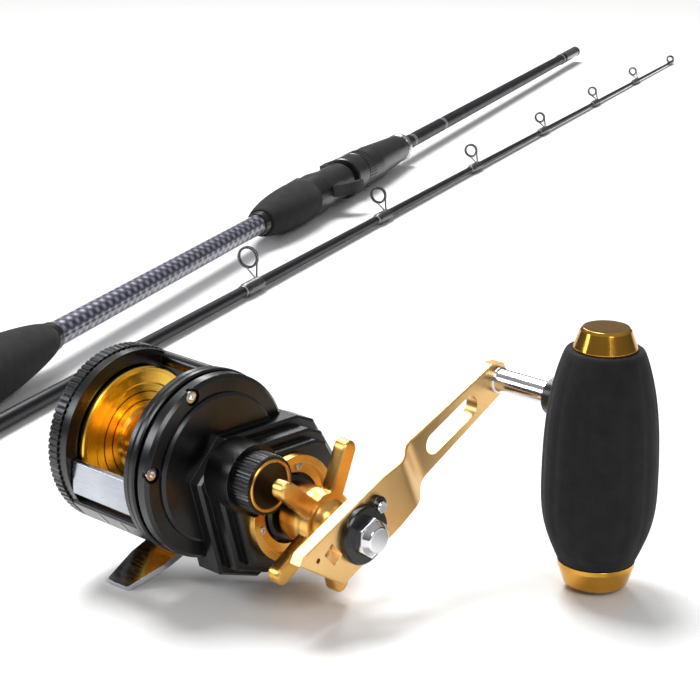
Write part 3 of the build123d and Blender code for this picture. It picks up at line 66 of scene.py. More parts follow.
# ---- Places ----------------------------------------------------------------------------------------
@dataclass(frozen=True)
class Place:
    """Where a sub-assembly stands: its origin in the frame and its own three axes.

    A turned piece runs along its place's own Y.
    """

    origin: Vector
    x: Vector
    y: Vector
    z: Vector

    def point(self, x: float, y: float, z: float) -> Vector:
        """Return the frame's point for a point in the place's own millimetres."""
        return self.origin + (self.x * x + self.y * y + self.z * z) * MM

    def turn(self) -> Matrix:
        """Return the rotation from the place's own axes to the frame's."""
        return Matrix((self.x, self.y, self.z)).transposed()

    def moved(self, x: float, y: float, z: float) -> "Place":
        """Return the same axes at another point of the place, in millimetres."""
        return Place(self.point(x, y, z), self.x, self.y, self.z)

    def lathe_on_x(self) -> "Place":
        """Return the place turned so that its own Y is this place's X."""
        return Place(self.origin, self.y, self.x, -self.z)


def joint(name: str) -> dict:
    """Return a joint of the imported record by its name."""
    return next(entry for entry in frame["joints"] if entry["name"] == name)


def mount(name: str) -> dict:
    """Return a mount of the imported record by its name."""
    return next(entry for entry in frame["record"]["mounts"] if entry["name"] == name)


def reel_place() -> Place:
    """Return the reel's place: X is the spool axis, Z points away from the foot."""
    x = Vector(joint("spool_turn")["axis"]).normalized()
    z = -Vector(mount("reel_foot_face")["axis"]).normalized()
    return Place(Vector(joint("spool_turn")["pos_m"]), x, z.cross(x), z)


def section_place(end: dict, along: float, forward: Vector, up: Vector) -> Place:
    """Return the place of a rod section from the mount at its ferrule end.

    Args:
        end: The record's mount at the ferrule.
        along: Distance of that mount from the section's own zero, in millimetres.
        forward: Direction of the rod tip.
        up: Direction of the reel or guide side.

    Returns:
        The section's place, with Y along the section.
    """
    y = forward.normalized()
    z = (up - y * up.dot(y)).normalized()
    return Place(Vector(end["pos_m"]) - y * along * MM, y.cross(z), y, z)


# ---- Shader helpers --------------------------------------------------------------------------------
def linear(code: str) -> tuple[float, float, float, float]:
    """Turn an sRGB hex colour such as "#D9A441" into the linear colour that a shader takes."""
    channels = [int(code[i:i + 2], 16) / 255 for i in (1, 3, 5)]
    red, green, blue = (c / 12.92 if c <= 0.04045 else ((c + 0.055) / 1.055) ** 2.4 for c in channels)
    return (red, green, blue, 1.0)


def add_node(tree: Tree, kind: str, settings: dict | None = None, links: dict | None = None
             ) -> bpy.types.Node:
    """Add a shader node, give it its settings and link its inputs.

    Args:
        tree: The node tree to add to.
        kind: Blender's name of the node type.
        settings: Values by input name or index, or by property name.
        links: Sockets to link, by input name or index.

    Returns:
        The new node.
    """
    node = tree.nodes.new(kind)
    for key, value in (settings or {}).items():
        if isinstance(key, int) or key in node.inputs:
            node.inputs[key].default_value = value
        else:
            setattr(node, key, value)
    for key, socket in (links or {}).items():
        tree.links.new(socket, node.inputs[key])
    return node


# inputs of the Mix node when it mixes colours
MIX_FACTOR = 0
MIX_FIRST = 6
MIX_SECOND = 7
MIX_RESULT = 2


class Surface(Enum):
    """How a metal surface was made, which sets what its fine relief looks like."""

    TURNED = "turned"
    BLASTED = "blasted"
    POLISHED = "polished"


@dataclass(frozen=True)
class Finish(ABC):
    """A procedural finish. Its pattern follows the place of the piece that wears it."""

    name: str
    place: Place
    edge_mm: float = field(default=0.3, kw_only=True)   # radius that light sees on a sharp edge

    def material(self) -> bpy.types.Material:
        """Build the material of this finish."""
        made = bpy.data.materials.new(self.name)
        made.use_nodes = True
        tree = made.node_tree
        tree.nodes.clear()
        shader = add_node(tree, "ShaderNodeBsdfPrincipled")
        add_node(tree, "ShaderNodeOutputMaterial", links={"Surface": shader.outputs["BSDF"]})
        self.dress(tree, shader)
        log.info("finish %s", self.name)
        return made

    @abstractmethod
    def dress(self, tree: Tree, shader: bpy.types.Node) -> None:
        """Set the shader's sockets and link the finish's patterns to it."""

    def own_space(self, tree: Tree) -> Socket:
        """Return coordinates along the place's own axes, in metres."""
        seen = add_node(tree, "ShaderNodeTexCoord")
        mapping = add_node(tree, "ShaderNodeMapping", {
            "vector_type": "TEXTURE",
            "Location": self.place.origin,
            "Rotation": self.place.turn().to_euler(),
        }, {"Vector": seen.outputs["Object"]})
        return mapping.outputs["Vector"]

    def mottle(self, tree: Tree, grain_mm: float, low: float, high: float) -> Socket:
        """Return a soft random value.

        Args:
            tree: The material's nodes.
            grain_mm: Size of one patch.
            low: Value of the palest patches.
            high: Value of the strongest patches.

        Returns:
            The value's socket.
        """
        noise = add_node(tree, "ShaderNodeTexNoise", {"Scale": 1 / (grain_mm * MM), "Detail": 4.0},
                         {"Vector": self.own_space(tree)})
        span = add_node(tree, "ShaderNodeMapRange", {
            "From Min": 0.3, "From Max": 0.7, "To Min": low, "To Max": high,
        }, {"Value": noise.outputs["Fac"]})
        return span.outputs["Result"]

    def blend(self, tree: Tree, factor: Socket, first: str, second: str) -> Socket:
        """Return a colour between two hex colours, by a factor from 0 to 1."""
        mix = add_node(tree, "ShaderNodeMix", {
            "data_type": "RGBA", MIX_FIRST: linear(first), MIX_SECOND: linear(second),
        }, {MIX_FACTOR: factor})
        return mix.outputs[MIX_RESULT]

    def turned(self, tree: Tree) -> tuple[Socket, Socket, Socket]:
        """Return the radius, the length and the angle of a point about the place's own Y."""
        parts = add_node(tree, "ShaderNodeSeparateXYZ", links={"Vector": self.own_space(tree)})
        flat = add_node(tree, "ShaderNodeCombineXYZ", links={
            "X": parts.outputs["X"], "Z": parts.outputs["Z"],
        })
        radius = add_node(tree, "ShaderNodeVectorMath", {"operation": "LENGTH"}, {0: flat.outputs["Vector"]})
        angle = add_node(tree, "ShaderNodeMath", {"operation": "ARCTAN2"}, {
            0: parts.outputs["X"], 1: parts.outputs["Z"],
        })
        return radius.outputs["Value"], parts.outputs["Y"], angle.outputs["Value"]

    def ripple(self, tree: Tree, value: Socket, pitch: float) -> Socket:
        """Return a wave from 0 to 1 that repeats each time a value grows by a pitch."""
        phase = add_node(tree, "ShaderNodeMath", {"operation": "MULTIPLY", 1: TURN / pitch}, {0: value})
        wave = add_node(tree, "ShaderNodeMath", {"operation": "SINE"}, {0: phase.outputs["Value"]})
        lifted = add_node(tree, "ShaderNodeMath", {"operation": "MULTIPLY_ADD", 1: 0.5, 2: 0.5},
                          {0: wave.outputs["Value"]})
        return lifted.outputs["Value"]

    def relief(self, tree: Tree, shader: bpy.types.Node, height: Socket, depth_mm: float) -> None:
        """Link a fine relief of a real depth to the shader, over edges with a small real radius."""
        edge = add_node(tree, "ShaderNodeBevel", {"samples": 4, "Radius": self.edge_mm * MM})
        bump = add_node(tree, "ShaderNodeBump", {"Distance": depth_mm * MM},
                        {"Height": height, "Normal": edge.outputs["Normal"]})
        tree.links.new(bump.outputs["Normal"], shader.inputs["Normal"])

    def edges(self, tree: Tree, width_mm: float) -> Socket:
        """Return a mask that is 1 on sharp edges and fades within a width of them."""
        edge = add_node(tree, "ShaderNodeBevel", {"samples": 4, "Radius": width_mm * MM})
        true = add_node(tree, "ShaderNodeNewGeometry")
        facing = add_node(tree, "ShaderNodeVectorMath", {"operation": "DOT_PRODUCT"},
                          {0: edge.outputs["Normal"], 1: true.outputs["Normal"]})
        mask = add_node(tree, "ShaderNodeMapRange", {
            "From Min": 0.99, "From Max": 0.80, "To Min": 0.0, "To Max": 1.0,
        }, {"Value": facing.outputs["Value"]})
        return mask.outputs["Result"]


@dataclass(frozen=True)
class AnodisedAluminium(Finish):
    """Dyed anodised aluminium: metal that shines through a thin coloured oxide.

    Turned pieces show faint rings about their axis, blasted ones a fine even grain, and every
    edge is paler, partly because the oxide is thin there, partly as a painted highlight on the edges.
    """

    hue: str
    deep: str
    # colour of the edges: wear of the oxide and a painted highlight
    edge_wear_and_highlight: str
    surface: Surface
    roughness: tuple[float, float]
    ring_mm: float = 0.9    # the real tool marks are a tenth of this and would not show

    def dress(self, tree: Tree, shader: bpy.types.Node) -> None:
        """Set the metal, its colour drift, its pale edges of wear and painted highlight, and its tool marks."""
        shader.inputs["Metallic"].default_value = 1.0
        drift = self.blend(tree, self.mottle(tree, 26.0, 0.0, 0.8), self.hue, self.deep)
        # painted highlight and wear: sharp edges take the pale colour, for glints on the chamfers as well as thin
        # oxide
        wear_and_highlight_edges = add_node(tree, "ShaderNodeMix", {"data_type": "RGBA", MIX_SECOND: linear(self.edge_wear_and_highlight)}, {
            MIX_FACTOR: self.edges(tree, 0.25), MIX_FIRST: drift,
        })
        tree.links.new(wear_and_highlight_edges.outputs[MIX_RESULT], shader.inputs["Base Color"])
        tree.links.new(self.mottle(tree, 9.0, *self.roughness), shader.inputs["Roughness"])
        if self.surface is Surface.TURNED:
            radius, length, _ = self.turned(tree)
            reach = add_node(tree, "ShaderNodeMath", {"operation": "ADD"}, {0: radius, 1: length})
            self.relief(tree, shader, self.ripple(tree, reach.outputs["Value"], self.ring_mm * MM), 0.003)
        elif self.surface is Surface.BLASTED:
            self.relief(tree, shader, self.mottle(tree, 0.5, 0.0, 1.0), 0.008)
        else:
            self.relief(tree, shader, self.mottle(tree, 9.0, 0.0, 1.0), 0.004)


@dataclass(frozen=True)
class SpoolGold(AnodisedAluminium):
    """Gold anodised spool: deeper orange down the cone as painted shade and reflection, with engraved dark
    capacity lines.
    """

    cone_r: float = 19.8        # radius of the step on the flange's cone
    arbor_r: float = 10.5
    depths: tuple[float, ...] = (14.0, 17.0)    # radii of the capacity lines
    line_w: float = 0.45

    def dress(self, tree: Tree, shader: bpy.types.Node) -> None:
        """Add the painted shade towards the arbor and the dark engraved lines to the turned metal."""
        super().dress(tree, shader)
        radius, _, _ = self.turned(tree)
        # painted shade and reflection: the gold deepens towards the arbor, in the hollow between the flanges
        depth = add_node(tree, "ShaderNodeMapRange", {
            "From Min": self.arbor_r * MM, "From Max": self.cone_r * MM, "To Min": 1.0, "To Max": 0.0,
        }, {"Value": radius})
        colour = self.blend(tree, depth.outputs["Result"], self.hue, self.deep)
        for line_r in self.depths:
            near = add_node(tree, "ShaderNodeMath", {
                "operation": "COMPARE", 1: line_r * MM, 2: self.line_w * MM / 2,
            }, {0: radius})
            mix = add_node(tree, "ShaderNodeMix", {"data_type": "RGBA", MIX_SECOND: linear("#7A4A14")}, {
                MIX_FACTOR: near.outputs["Value"], MIX_FIRST: colour,
            })
            colour = mix.outputs[MIX_RESULT]
        tree.links.new(colour, shader.inputs["Base Color"])


@dataclass(frozen=True)
class BlackAnodised(Finish):
    """Hard black anodised aluminium, bead blasted: an even fine grain under a satin shine.

    The dyed oxide is glassy, so it reflects as a dielectric. Its edges are painted grey, for wear and as a painted
    highlight.
    """

    hue: str = "#070708"
    # grey of the edges: wear and a painted highlight
    rubbed_and_highlight: str = "#3A3B40"
    oxide_ior: float = 1.5
    roughness: tuple[float, float] = (0.24, 0.27)

    def dress(self, tree: Tree, shader: bpy.types.Node) -> None:
        """Set the black oxide, its edges painted grey for wear and highlight, and its blasted grain."""
        shader.inputs["IOR"].default_value = self.oxide_ior
        # painted highlight and wear: sharp edges are painted grey, for the glint of light on them as well as bare
        # metal
        colour = self.blend(tree, self.edges(tree, 0.2), self.hue, self.rubbed_and_highlight)
        tree.links.new(colour, shader.inputs["Base Color"])
        tree.links.new(self.mottle(tree, 7.0, *self.roughness), shader.inputs["Roughness"])
        self.relief(tree, shader, self.mottle(tree, 0.45, 0.0, 1.0), 0.003)


@dataclass(frozen=True)
class Steel(Finish):
    """Stainless steel or chrome plate: bright metal with hairline scratches of handling."""

    hue: str
    deep: str
    roughness: tuple[float, float]
    scratch_mm: float = 0.004

    def dress(self, tree: Tree, shader: bpy.types.Node) -> None:
        """Set the metal and its streaked roughness."""
        shader.inputs["Metallic"].default_value = 1.0
        tree.links.new(self.blend(tree, self.mottle(tree, 20.0, 0.0, 1.0), self.hue, self.deep),
                       shader.inputs["Base Color"])
        # streaks run across the piece, much longer than they are wide
        stretched = add_node(tree, "ShaderNodeMapping", {"Scale": (1.0, 0.08, 1.0)},
                             {"Vector": self.own_space(tree)})
        streak = add_node(tree, "ShaderNodeTexNoise", {"Scale": 1 / (0.7 * MM), "Detail": 3.0},
                          {"Vector": stretched.outputs["Vector"]})
        span = add_node(tree, "ShaderNodeMapRange", {
            "From Min": 0.35, "From Max": 0.7, "To Min": self.roughness[0], "To Max": self.roughness[1],
        }, {"Value": streak.outputs["Fac"]})
        tree.links.new(span.outputs["Result"], shader.inputs["Roughness"])
        self.relief(tree, shader, streak.outputs["Fac"], self.scratch_mm)


@dataclass(frozen=True)
class EvaFoam(Finish):
    """Closed-cell EVA foam, ground to shape: matte, with tiny open cells and a dusty bloom."""

    hue: str = "#0E0E0F"
    bloom: str = "#19191B"
    cell_mm: float = 0.7        # the real cells are half as wide

    def dress(self, tree: Tree, shader: bpy.types.Node) -> None:
        """Set the matte foam, its mottled bloom and its cells."""
        shader.inputs["IOR"].default_value = 1.35
        shader.inputs["Sheen Weight"].default_value = 0.04
        shader.inputs["Sheen Roughness"].default_value = 0.6
        tree.links.new(self.blend(tree, self.mottle(tree, 3.0, 0.0, 1.0), self.hue, self.bloom),
                       shader.inputs["Base Color"])
        tree.links.new(self.mottle(tree, 6.0, 0.8, 0.95), shader.inputs["Roughness"])
        cells = add_node(tree, "ShaderNodeTexVoronoi", {
            "Scale": 1 / (self.cell_mm * MM), "feature": "SMOOTH_F1", "Smoothness": 0.4,
        }, {"Vector": self.own_space(tree)})
        self.relief(tree, shader, cells.outputs["Distance"], 0.09)


@dataclass(frozen=True)
class CarbonTube(Finish):
    """Carbon blank: dark tube with faint ridges of its wrapping tape under a clear gloss coat."""

    hue: str = "#07080D"
    ridge: str = "#11131E"
    tape_mm: float = 3.0

    def dress(self, tree: Tree, shader: bpy.types.Node) -> None:
        """Set the dark resin, the tape's pitch and the clear coat."""
        shader.inputs["Specular IOR Level"].default_value = 0.22
        shader.inputs["Coat Weight"].default_value = 0.12
        shader.inputs["Coat Roughness"].default_value = 0.1
        _, length, angle = self.turned(tree)
        # the tape climbs by its own width in each turn
        climb = add_node(tree, "ShaderNodeMath", {"operation": "MULTIPLY_ADD", 1: self.tape_mm * MM / TURN},
                         {0: angle, 2: length})
        wave = self.ripple(tree, climb.outputs["Value"], self.tape_mm * MM)
        tree.links.new(self.blend(tree, wave, self.hue, self.ridge), shader.inputs["Base Color"])
        tree.links.new(self.mottle(tree, 8.0, 0.35, 0.45), shader.inputs["Roughness"])
        self.relief(tree, shader, wave, 0.01)


@dataclass(frozen=True)
class WovenSleeve(Finish):
    """Braided sleeve of silver and violet tows that cross in an X, sealed under clear resin."""

    silver: str = "#A6A9BC"
    violet: str = "#4A4A66"
    dark: str = "#1A1A28"
    tows: int = 6               # tows that climb each way around the tube
    tow_mm: float = 7.0         # rise of the weave along the tube

    def dress(self, tree: Tree, shader: bpy.types.Node) -> None:
        """Set the two sets of tows, the dark gaps between them and the resin."""
        shader.inputs["Metallic"].default_value = 0.55
        shader.inputs["Coat Weight"].default_value = 1.0
        shader.inputs["Coat Roughness"].default_value = 0.05
        _, length, angle = self.turned(tree)
        rise = add_node(tree, "ShaderNodeMath", {"operation": "MULTIPLY", 1: TURN / (self.tow_mm * MM)},
                        {0: length})
        tows = []
        for climb in (self.tows, -self.tows):
            phase = add_node(tree, "ShaderNodeMath", {"operation": "MULTIPLY_ADD", 1: float(climb)},
                             {0: angle, 2: rise.outputs["Value"]})
            tows.append(self.ripple(tree, phase.outputs["Value"], TURN))
        over = add_node(tree, "ShaderNodeMath", {"operation": "MAXIMUM"}, {0: tows[0], 1: tows[1]})
        under = add_node(tree, "ShaderNodeMath", {"operation": "MULTIPLY"}, {0: tows[0], 1: tows[1]})
        lit = add_node(tree, "ShaderNodeMapRange", {"From Min": 0.55, "From Max": 0.95},
                       {"Value": over.outputs["Value"]})
        base = self.blend(tree, lit.outputs["Result"], self.dark, self.violet)
        cross = add_node(tree, "ShaderNodeMix", {"data_type": "RGBA", MIX_SECOND: linear(self.silver)}, {
            MIX_FACTOR: under.outputs["Value"], MIX_FIRST: base,
        })
        tree.links.new(cross.outputs[MIX_RESULT], shader.inputs["Base Color"])
        tree.links.new(self.mottle(tree, 2.0, 0.25, 0.4), shader.inputs["Roughness"])
        self.relief(tree, shader, over.outputs["Value"], 0.05)


@dataclass(frozen=True)
class MouldedNylon(Finish):
    """Glass-filled nylon, moulded: a fine pebbled skin with a low gloss."""

    hue: str = "#0A0A0B"
    paler: str = "#111113"
    roughness: tuple[float, float] = (0.28, 0.36)
    pebble_mm: float = 0.8

    def dress(self, tree: Tree, shader: bpy.types.Node) -> None:
        """Set the plastic and its moulded skin."""
        shader.inputs["IOR"].default_value = 1.53
        tree.links.new(self.blend(tree, self.mottle(tree, 6.0, 0.0, 1.0), self.hue, self.paler),
                       shader.inputs["Base Color"])
        tree.links.new(self.mottle(tree, 3.0, *self.roughness), shader.inputs["Roughness"])
        self.relief(tree, shader, self.mottle(tree, self.pebble_mm, 0.0, 1.0), 0.02)


@dataclass(frozen=True)
class LacqueredThread(Finish):
    """Nylon thread wound side by side and flooded with lacquer: fine rings under a wet gloss."""

    hue: str
    deep: str
    thread_mm: float = 0.5      # the real thread is a third as thick

    def dress(self, tree: Tree, shader: bpy.types.Node) -> None:
        """Set the thread's rings and the lacquer."""
        shader.inputs["Coat Weight"].default_value = 1.0
        shader.inputs["Coat Roughness"].default_value = 0.08
        _, length, _ = self.turned(tree)
        rings = self.ripple(tree, length, self.thread_mm * MM)
        tree.links.new(self.blend(tree, rings, self.deep, self.hue), shader.inputs["Base Color"])
        tree.links.new(self.mottle(tree, 2.0, 0.3, 0.5), shader.inputs["Roughness"])
        self.relief(tree, shader, rings, 0.02)


@dataclass(frozen=True)
class DragFibre(Finish):
    """Woven carbon drag washer: a coarse dull grid of tows."""

    hue: str = "#141416"
    paler: str = "#34343A"
    tow_mm: float = 1.6

    def dress(self, tree: Tree, shader: bpy.types.Node) -> None:
        """Set the grid of tows."""
        grid = add_node(tree, "ShaderNodeTexChecker", {"Scale": 1 / (self.tow_mm * MM)},
                        {"Vector": self.own_space(tree)})
        tree.links.new(self.blend(tree, grid.outputs["Fac"], self.hue, self.paler),
                       shader.inputs["Base Color"])
        tree.links.new(self.mottle(tree, 2.0, 0.6, 0.8), shader.inputs["Roughness"])
        self.relief(tree, shader, grid.outputs["Fac"], 0.03)


@dataclass(frozen=True)
class PaintedMark(Finish):
    """Pad-printed paint: an even flat colour with a slightly uneven film."""

    hue: str
    deep: str

    def dress(self, tree: Tree, shader: bpy.types.Node) -> None:
        """Set the paint film."""
        tree.links.new(self.blend(tree, self.mottle(tree, 1.5, 0.0, 1.0), self.hue, self.deep),
                       shader.inputs["Base Color"])
        tree.links.new(self.mottle(tree, 2.5, 0.3, 0.45), shader.inputs["Roughness"])
        self.relief(tree, shader, self.mottle(tree, 0.8, 0.0, 1.0), 0.01)


# ---- Mesh helpers ----------------------------------------------------------------------------------
def wear(material: bpy.types.Material, *names: str) -> None:
    """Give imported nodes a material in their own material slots."""
    for name in names:
        for slot in frame["nodes"][name].material_slots:
            slot.material = material
        log.info("node %s wears %s", name, material.name)


def new_piece(name: str, made: bmesh.types.BMesh, material: bpy.types.Material, sharp_deg: float = 35.0
              ) -> bpy.types.Object:
    """Turn a bmesh into a smooth-shaded object with one material.

    Args:
        name: The piece's name.
        made: The mesh, in the frame's metres, which is freed.
        material: Its material.
        sharp_deg: Edges sharper than this stay crisp.

    Returns:
        The new object.
    """
    bmesh.ops.recalc_face_normals(made, faces=made.faces)
    mesh = bpy.data.meshes.new(name)
    made.to_mesh(mesh)
    made.free()
    mesh.shade_smooth()
    mesh.set_sharp_from_angle(angle=radians(sharp_deg))
    mesh.materials.append(material)
    piece = bpy.data.objects.new(name, mesh)
    bpy.context.scene.collection.objects.link(piece)
    return piece


def turn_profile(made: bmesh.types.BMesh, place: Place, profile: Profile, segments: int,
                 swell: Callable[[float, float], float] | None = None) -> None:
    """Turn a closed half section about a place's own Y and add it to a mesh.

    Args:
        made: The mesh to add to.
        place: The place whose Y is the axis.
        profile: Points of the closed section, as length and radius in millimetres.
        segments: Points around the axis.
        swell: What to add to the radius, from the angle and the length.
    """
    rings = []
    for length, radius in profile:
        ring = []
        for step in range(segments):
            angle = TURN * step / segments
            reach = radius + (swell(angle, length) if swell else 0.0)
            ring.append(made.verts.new(place.point(reach * sin(angle), length, reach * cos(angle))))
        rings.append(ring)
    for near, far in zip(rings, rings[1:] + rings[:1]):
        for step in range(segments):
            after = (step + 1) % segments
            made.faces.new((near[step], near[after], far[after], far[step]))


def curve(start: tuple[float, float], lean_out: tuple[float, float], lean_in: tuple[float, float],
          end: tuple[float, float], steps: int = 14) -> Profile:
    """Return points along a smooth curve of a profile, from its two ends and their handles."""
    flat = [Vector((*point, 0.0)) for point in (start, lean_out, lean_in, end)]
    return [(point.x, point.y) for point in interpolate_bezier(*flat, steps)]


def bored(outside: Profile, bore: Callable[[float], float]) -> Profile:
    """Close an outside profile with the bore that runs through the piece.

    Args:
        outside: The outside points, from the low end to the high end.
        bore: The radius of the bore at a length.

    Returns:
        The closed section.
    """
    first, last = outside[0][0], outside[-1][0]
    return outside + [(last, bore(last)), (first, bore(first))]


# ---- Sub-assemblies --------------------------------------------------------------------------------
@dataclass
class Reel:
    """The reel without its handle: frame, side covers, gear case, foot, spool and thumb bar."""

    place: Place = field(default_factory=reel_place)
    drive: tuple[float, float] = (10.0, -19.5)      # drive axis from the spool axis, Y and Z
    bar_r: float = 32.05        # outer face of the rear bar from the spool axis
    bar_angle: float = 200.0
    mark_x: tuple[float, float] = (-6.5, 4.5)       # the two index marks, along the spool axis
    mark_size: tuple[float, float, float] = (0.9, 5.4, 0.16)

    def spool_place(self) -> Place:
        """Return the place whose Y is the spool axis."""
        return self.place.lathe_on_x()

    def drive_place(self) -> Place:
        """Return the place whose Y is the drive axis."""
        return self.place.moved(0.0, *self.drive).lathe_on_x()

    def dress(self) -> None:
        """Give the reel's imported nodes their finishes."""
        spool_axis = self.spool_place()
        black = BlackAnodised("black_anodised_aluminium", spool_axis).material()
        wear(black, "frame", "left_side_cover", "left_rim_ring", "right_side_plate", "gear_case",
             "drive_boss", "cast_control_cap", "cast_cap_face")
        # the pale third colour of each gold is painted on its edges: wear and painted highlight
        gold = AnodisedAluminium("gold_anodised_ring", self.drive_place(), "#E2B056", "#C98F35", "#FFE7AE",
                                 Surface.TURNED, (0.2, 0.3)).material()
        wear(gold, "drive_cover_ring", "cast_cap_ring")
        # the second gold is the painted shade and reflection towards the spool's arbor
        wear(SpoolGold("gold_anodised_spool", spool_axis, "#F8CB58", "#F2BC4A", "#FFE39A",
                       Surface.TURNED, (0.2, 0.27)).material(), "spool")
        chrome = Steel("chrome_plate", spool_axis, "#E9EAEE", "#D5D7DC", (0.04, 0.12)).material()
        wear(Steel("satin_chromed_bar", spool_axis, "#B9BCC3", "#9DA0A8", (0.2, 0.3), edge_mm=0.8).material(),
             "thumb_bar")
        wear(chrome, "right_plate_screws", "cover_ring_screws", "left_cover_screws")
        steel = Steel("polished_stainless_steel", spool_axis, "#D2D4D8", "#B9BBC1", (0.1, 0.24)).material()
        wear(steel, "reel_foot", "foot_screws", "spool_shaft", "spool_bearing_left", "spool_bearing_right",
             "drive_bearing", "one_way_bearing")
        brass = Steel("machined_brass", self.drive_place(), "#CDA349", "#A97F30", (0.22, 0.34)).material()
        wear(brass, "pinion_gear", "main_gear")
        wear(DragFibre("carbon_drag_washer", self.drive_place()).material(), "drag_washers")

    def index_marks(self) -> bpy.types.Object:
        """Build the two pale marks on the rear bar."""
        width, height, proud = self.mark_size
        made = bmesh.new()
        out = Vector((0.0, cos(radians(self.bar_angle)), sin(radians(self.bar_angle))))
        up = Vector((0.0, -out.z, out.y))
        for middle in self.mark_x:
            corners = []
            for level in (-proud, proud):
                for across, along in ((-1, -1), (1, -1), (1, 1), (-1, 1)):
                    local = out * (self.bar_r + level) + up * (along * height / 2)
                    local.x = middle + across * width / 2
                    corners.append(made.verts.new(self.place.point(*local)))
            low, high = corners[:4], corners[4:]
            made.faces.new(low)
            made.faces.new(high)
            for i in range(4):
                j = (i + 1) % 4
                made.faces.new((low[i], low[j], high[j], high[i]))
        upright = [edge for edge in made.edges if edge.calc_length() < 3 * proud * MM]
        bmesh.ops.bevel(made, geom=upright, offset=0.25 * MM, segments=3, affect="EDGES")
        paint = PaintedMark("white_pad_print", self.place, "#D8D6CE", "#BDBBB2").material()
        marks = new_piece("rear_bar_marks", made, paint)
        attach(marks, "reel_frame")
        return marks


@dataclass
class Handle:
    """The power handle with its star drag wheel, nut, retainer and knob."""

    reel: Reel
    knob_tilt: float = 22.0
    grip_length: float = 75.0
    stem_drop: float = 16.0     # the stem enters this far above the grip's middle
    belly_r: float = 19.7
    end_r: float = 13.3
    belly_share: float = 0.38   # the widest point, as a share of the grip from its low end
    core_r: float = 8.6
    sleeve_r: float = 6.5       # bearing sleeve that goes through the foam's side
    flutes: int = 14
    flute_depth: float = 0.3

    def knob_place(self) -> Place:
        """Return the knob's place: its Y is the grip's long axis, its X the stem's."""
        stem = self.reel.place
        origin = Vector(joint("knob_spin")["pos_m"])
        tilt = radians(self.knob_tilt)
        up = stem.y * sin(tilt) + stem.z * cos(tilt)
        return Place(origin, stem.x, up, stem.x.cross(up))

    def dress(self) -> None:
        """Give the handle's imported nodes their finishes."""
        drive = self.reel.drive_place()
        knob = self.knob_place()
        # the pale third colour of each gold is painted on its edges: wear and painted highlight
        wear(AnodisedAluminium("gold_anodised_star", drive, "#EDBD6A", "#D9A24A", "#FFE9B4",
                               Surface.TURNED, (0.2, 0.28), edge_mm=1.6).material(), "star_drag")
        wear(AnodisedAluminium("gold_anodised_arm", drive, "#F0C788", "#E6B874", "#F8DDAA",
                               Surface.BLASTED, (0.34, 0.40)).material(), "handle_arm")
        wear(AnodisedAluminium("gold_polished_cap", knob, "#E3AC4B", "#C48A30", "#FFE6AA",
                               Surface.POLISHED, (0.08, 0.16)).material(), "knob_top_cap", "knob_bottom_cap")
        wear(BlackAnodised("black_anodised_retainer", drive).material(), "nut_retainer")
        wear(Steel("chromed_fasteners", drive, "#E6E7EB", "#CFD1D6", (0.04, 0.12)).material(),
             "handle_nut", "retainer_screw")
        wear(Steel("turned_stainless_steel", drive, "#DCDDE1", "#BFC1C7", (0.1, 0.2)).material(),
             "knob_stem", "drive_shaft", "drive_sleeve", "star_spring_washers", "knob_bearings")
        wear(MouldedNylon("moulded_nylon_core", knob).material(), "knob_core")

    def flute(self, angle: float, length: float) -> float:
        """Return how far the foam is ground in at an angle, fading towards both ends."""
        low = -self.grip_length / 2 - self.stem_drop
        share = (length - low) / self.grip_length
        fade = max(0.0, sin(pi * min(max(share, 0.0), 1.0))) ** 0.6
        return -self.flute_depth * fade * (0.5 - 0.5 * cos(self.flutes * angle)) ** 3

    def foam(self) -> bpy.types.Object:
        """Build the fluted foam body of the knob, with the side hole for the bearing sleeve."""
        low = -self.grip_length / 2 - self.stem_drop
        high = low + self.grip_length
        belly = low + self.belly_share * self.grip_length
        rim = self.end_r + 0.4
        outside = [(low, self.end_r - 0.6), (low + 0.35, self.end_r - 0.1)]
        outside += curve((low + 1.2, rim), (low + 12.0, self.belly_r - 0.9),
                         (belly - 11.0, self.belly_r), (belly, self.belly_r), 20)
        outside += curve((belly, self.belly_r), (belly + 16.0, self.belly_r),
                         (high - 15.0, self.belly_r - 0.7), (high - 1.2, rim), 26)[1:]
        outside += [(high - 0.35, self.end_r - 0.1), (high, self.end_r - 0.6)]
        made = bmesh.new()
        place = self.knob_place()
        turn_profile(made, place, bored(outside, lambda _: self.core_r + 0.02), 168, self.flute)
        foam = new_piece("knob_foam", made, EvaFoam("ground_eva_foam", place).material())

        cutter_mesh = bmesh.new()
        bmesh.ops.create_cone(cutter_mesh, cap_ends=True, segments=64, radius1=self.sleeve_r * MM,
                              radius2=self.sleeve_r * MM, depth=40.0 * MM)
        along_x = Matrix.Rotation(pi / 2, 4, "Y")
        stand = Matrix.Translation(place.point(-20.0, 0.0, 0.0)) @ place.turn().to_4x4()
        cutter_mesh.transform(stand @ along_x)
        cutter = new_piece("sleeve_hole", cutter_mesh, foam.data.materials[0])
        cut = foam.modifiers.new("sleeve_hole", "BOOLEAN")
        cut.operation = "DIFFERENCE"
        cut.object = cutter
        cut.solver = "EXACT"
        holed = bpy.data.meshes.new_from_object(foam.evaluated_get(bpy.context.evaluated_depsgraph_get()))
        foam.modifiers.clear()
        foam.data = holed
        bpy.data.objects.remove(cutter)
        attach(foam, "knob")
        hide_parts("knob_grip")
        return foam


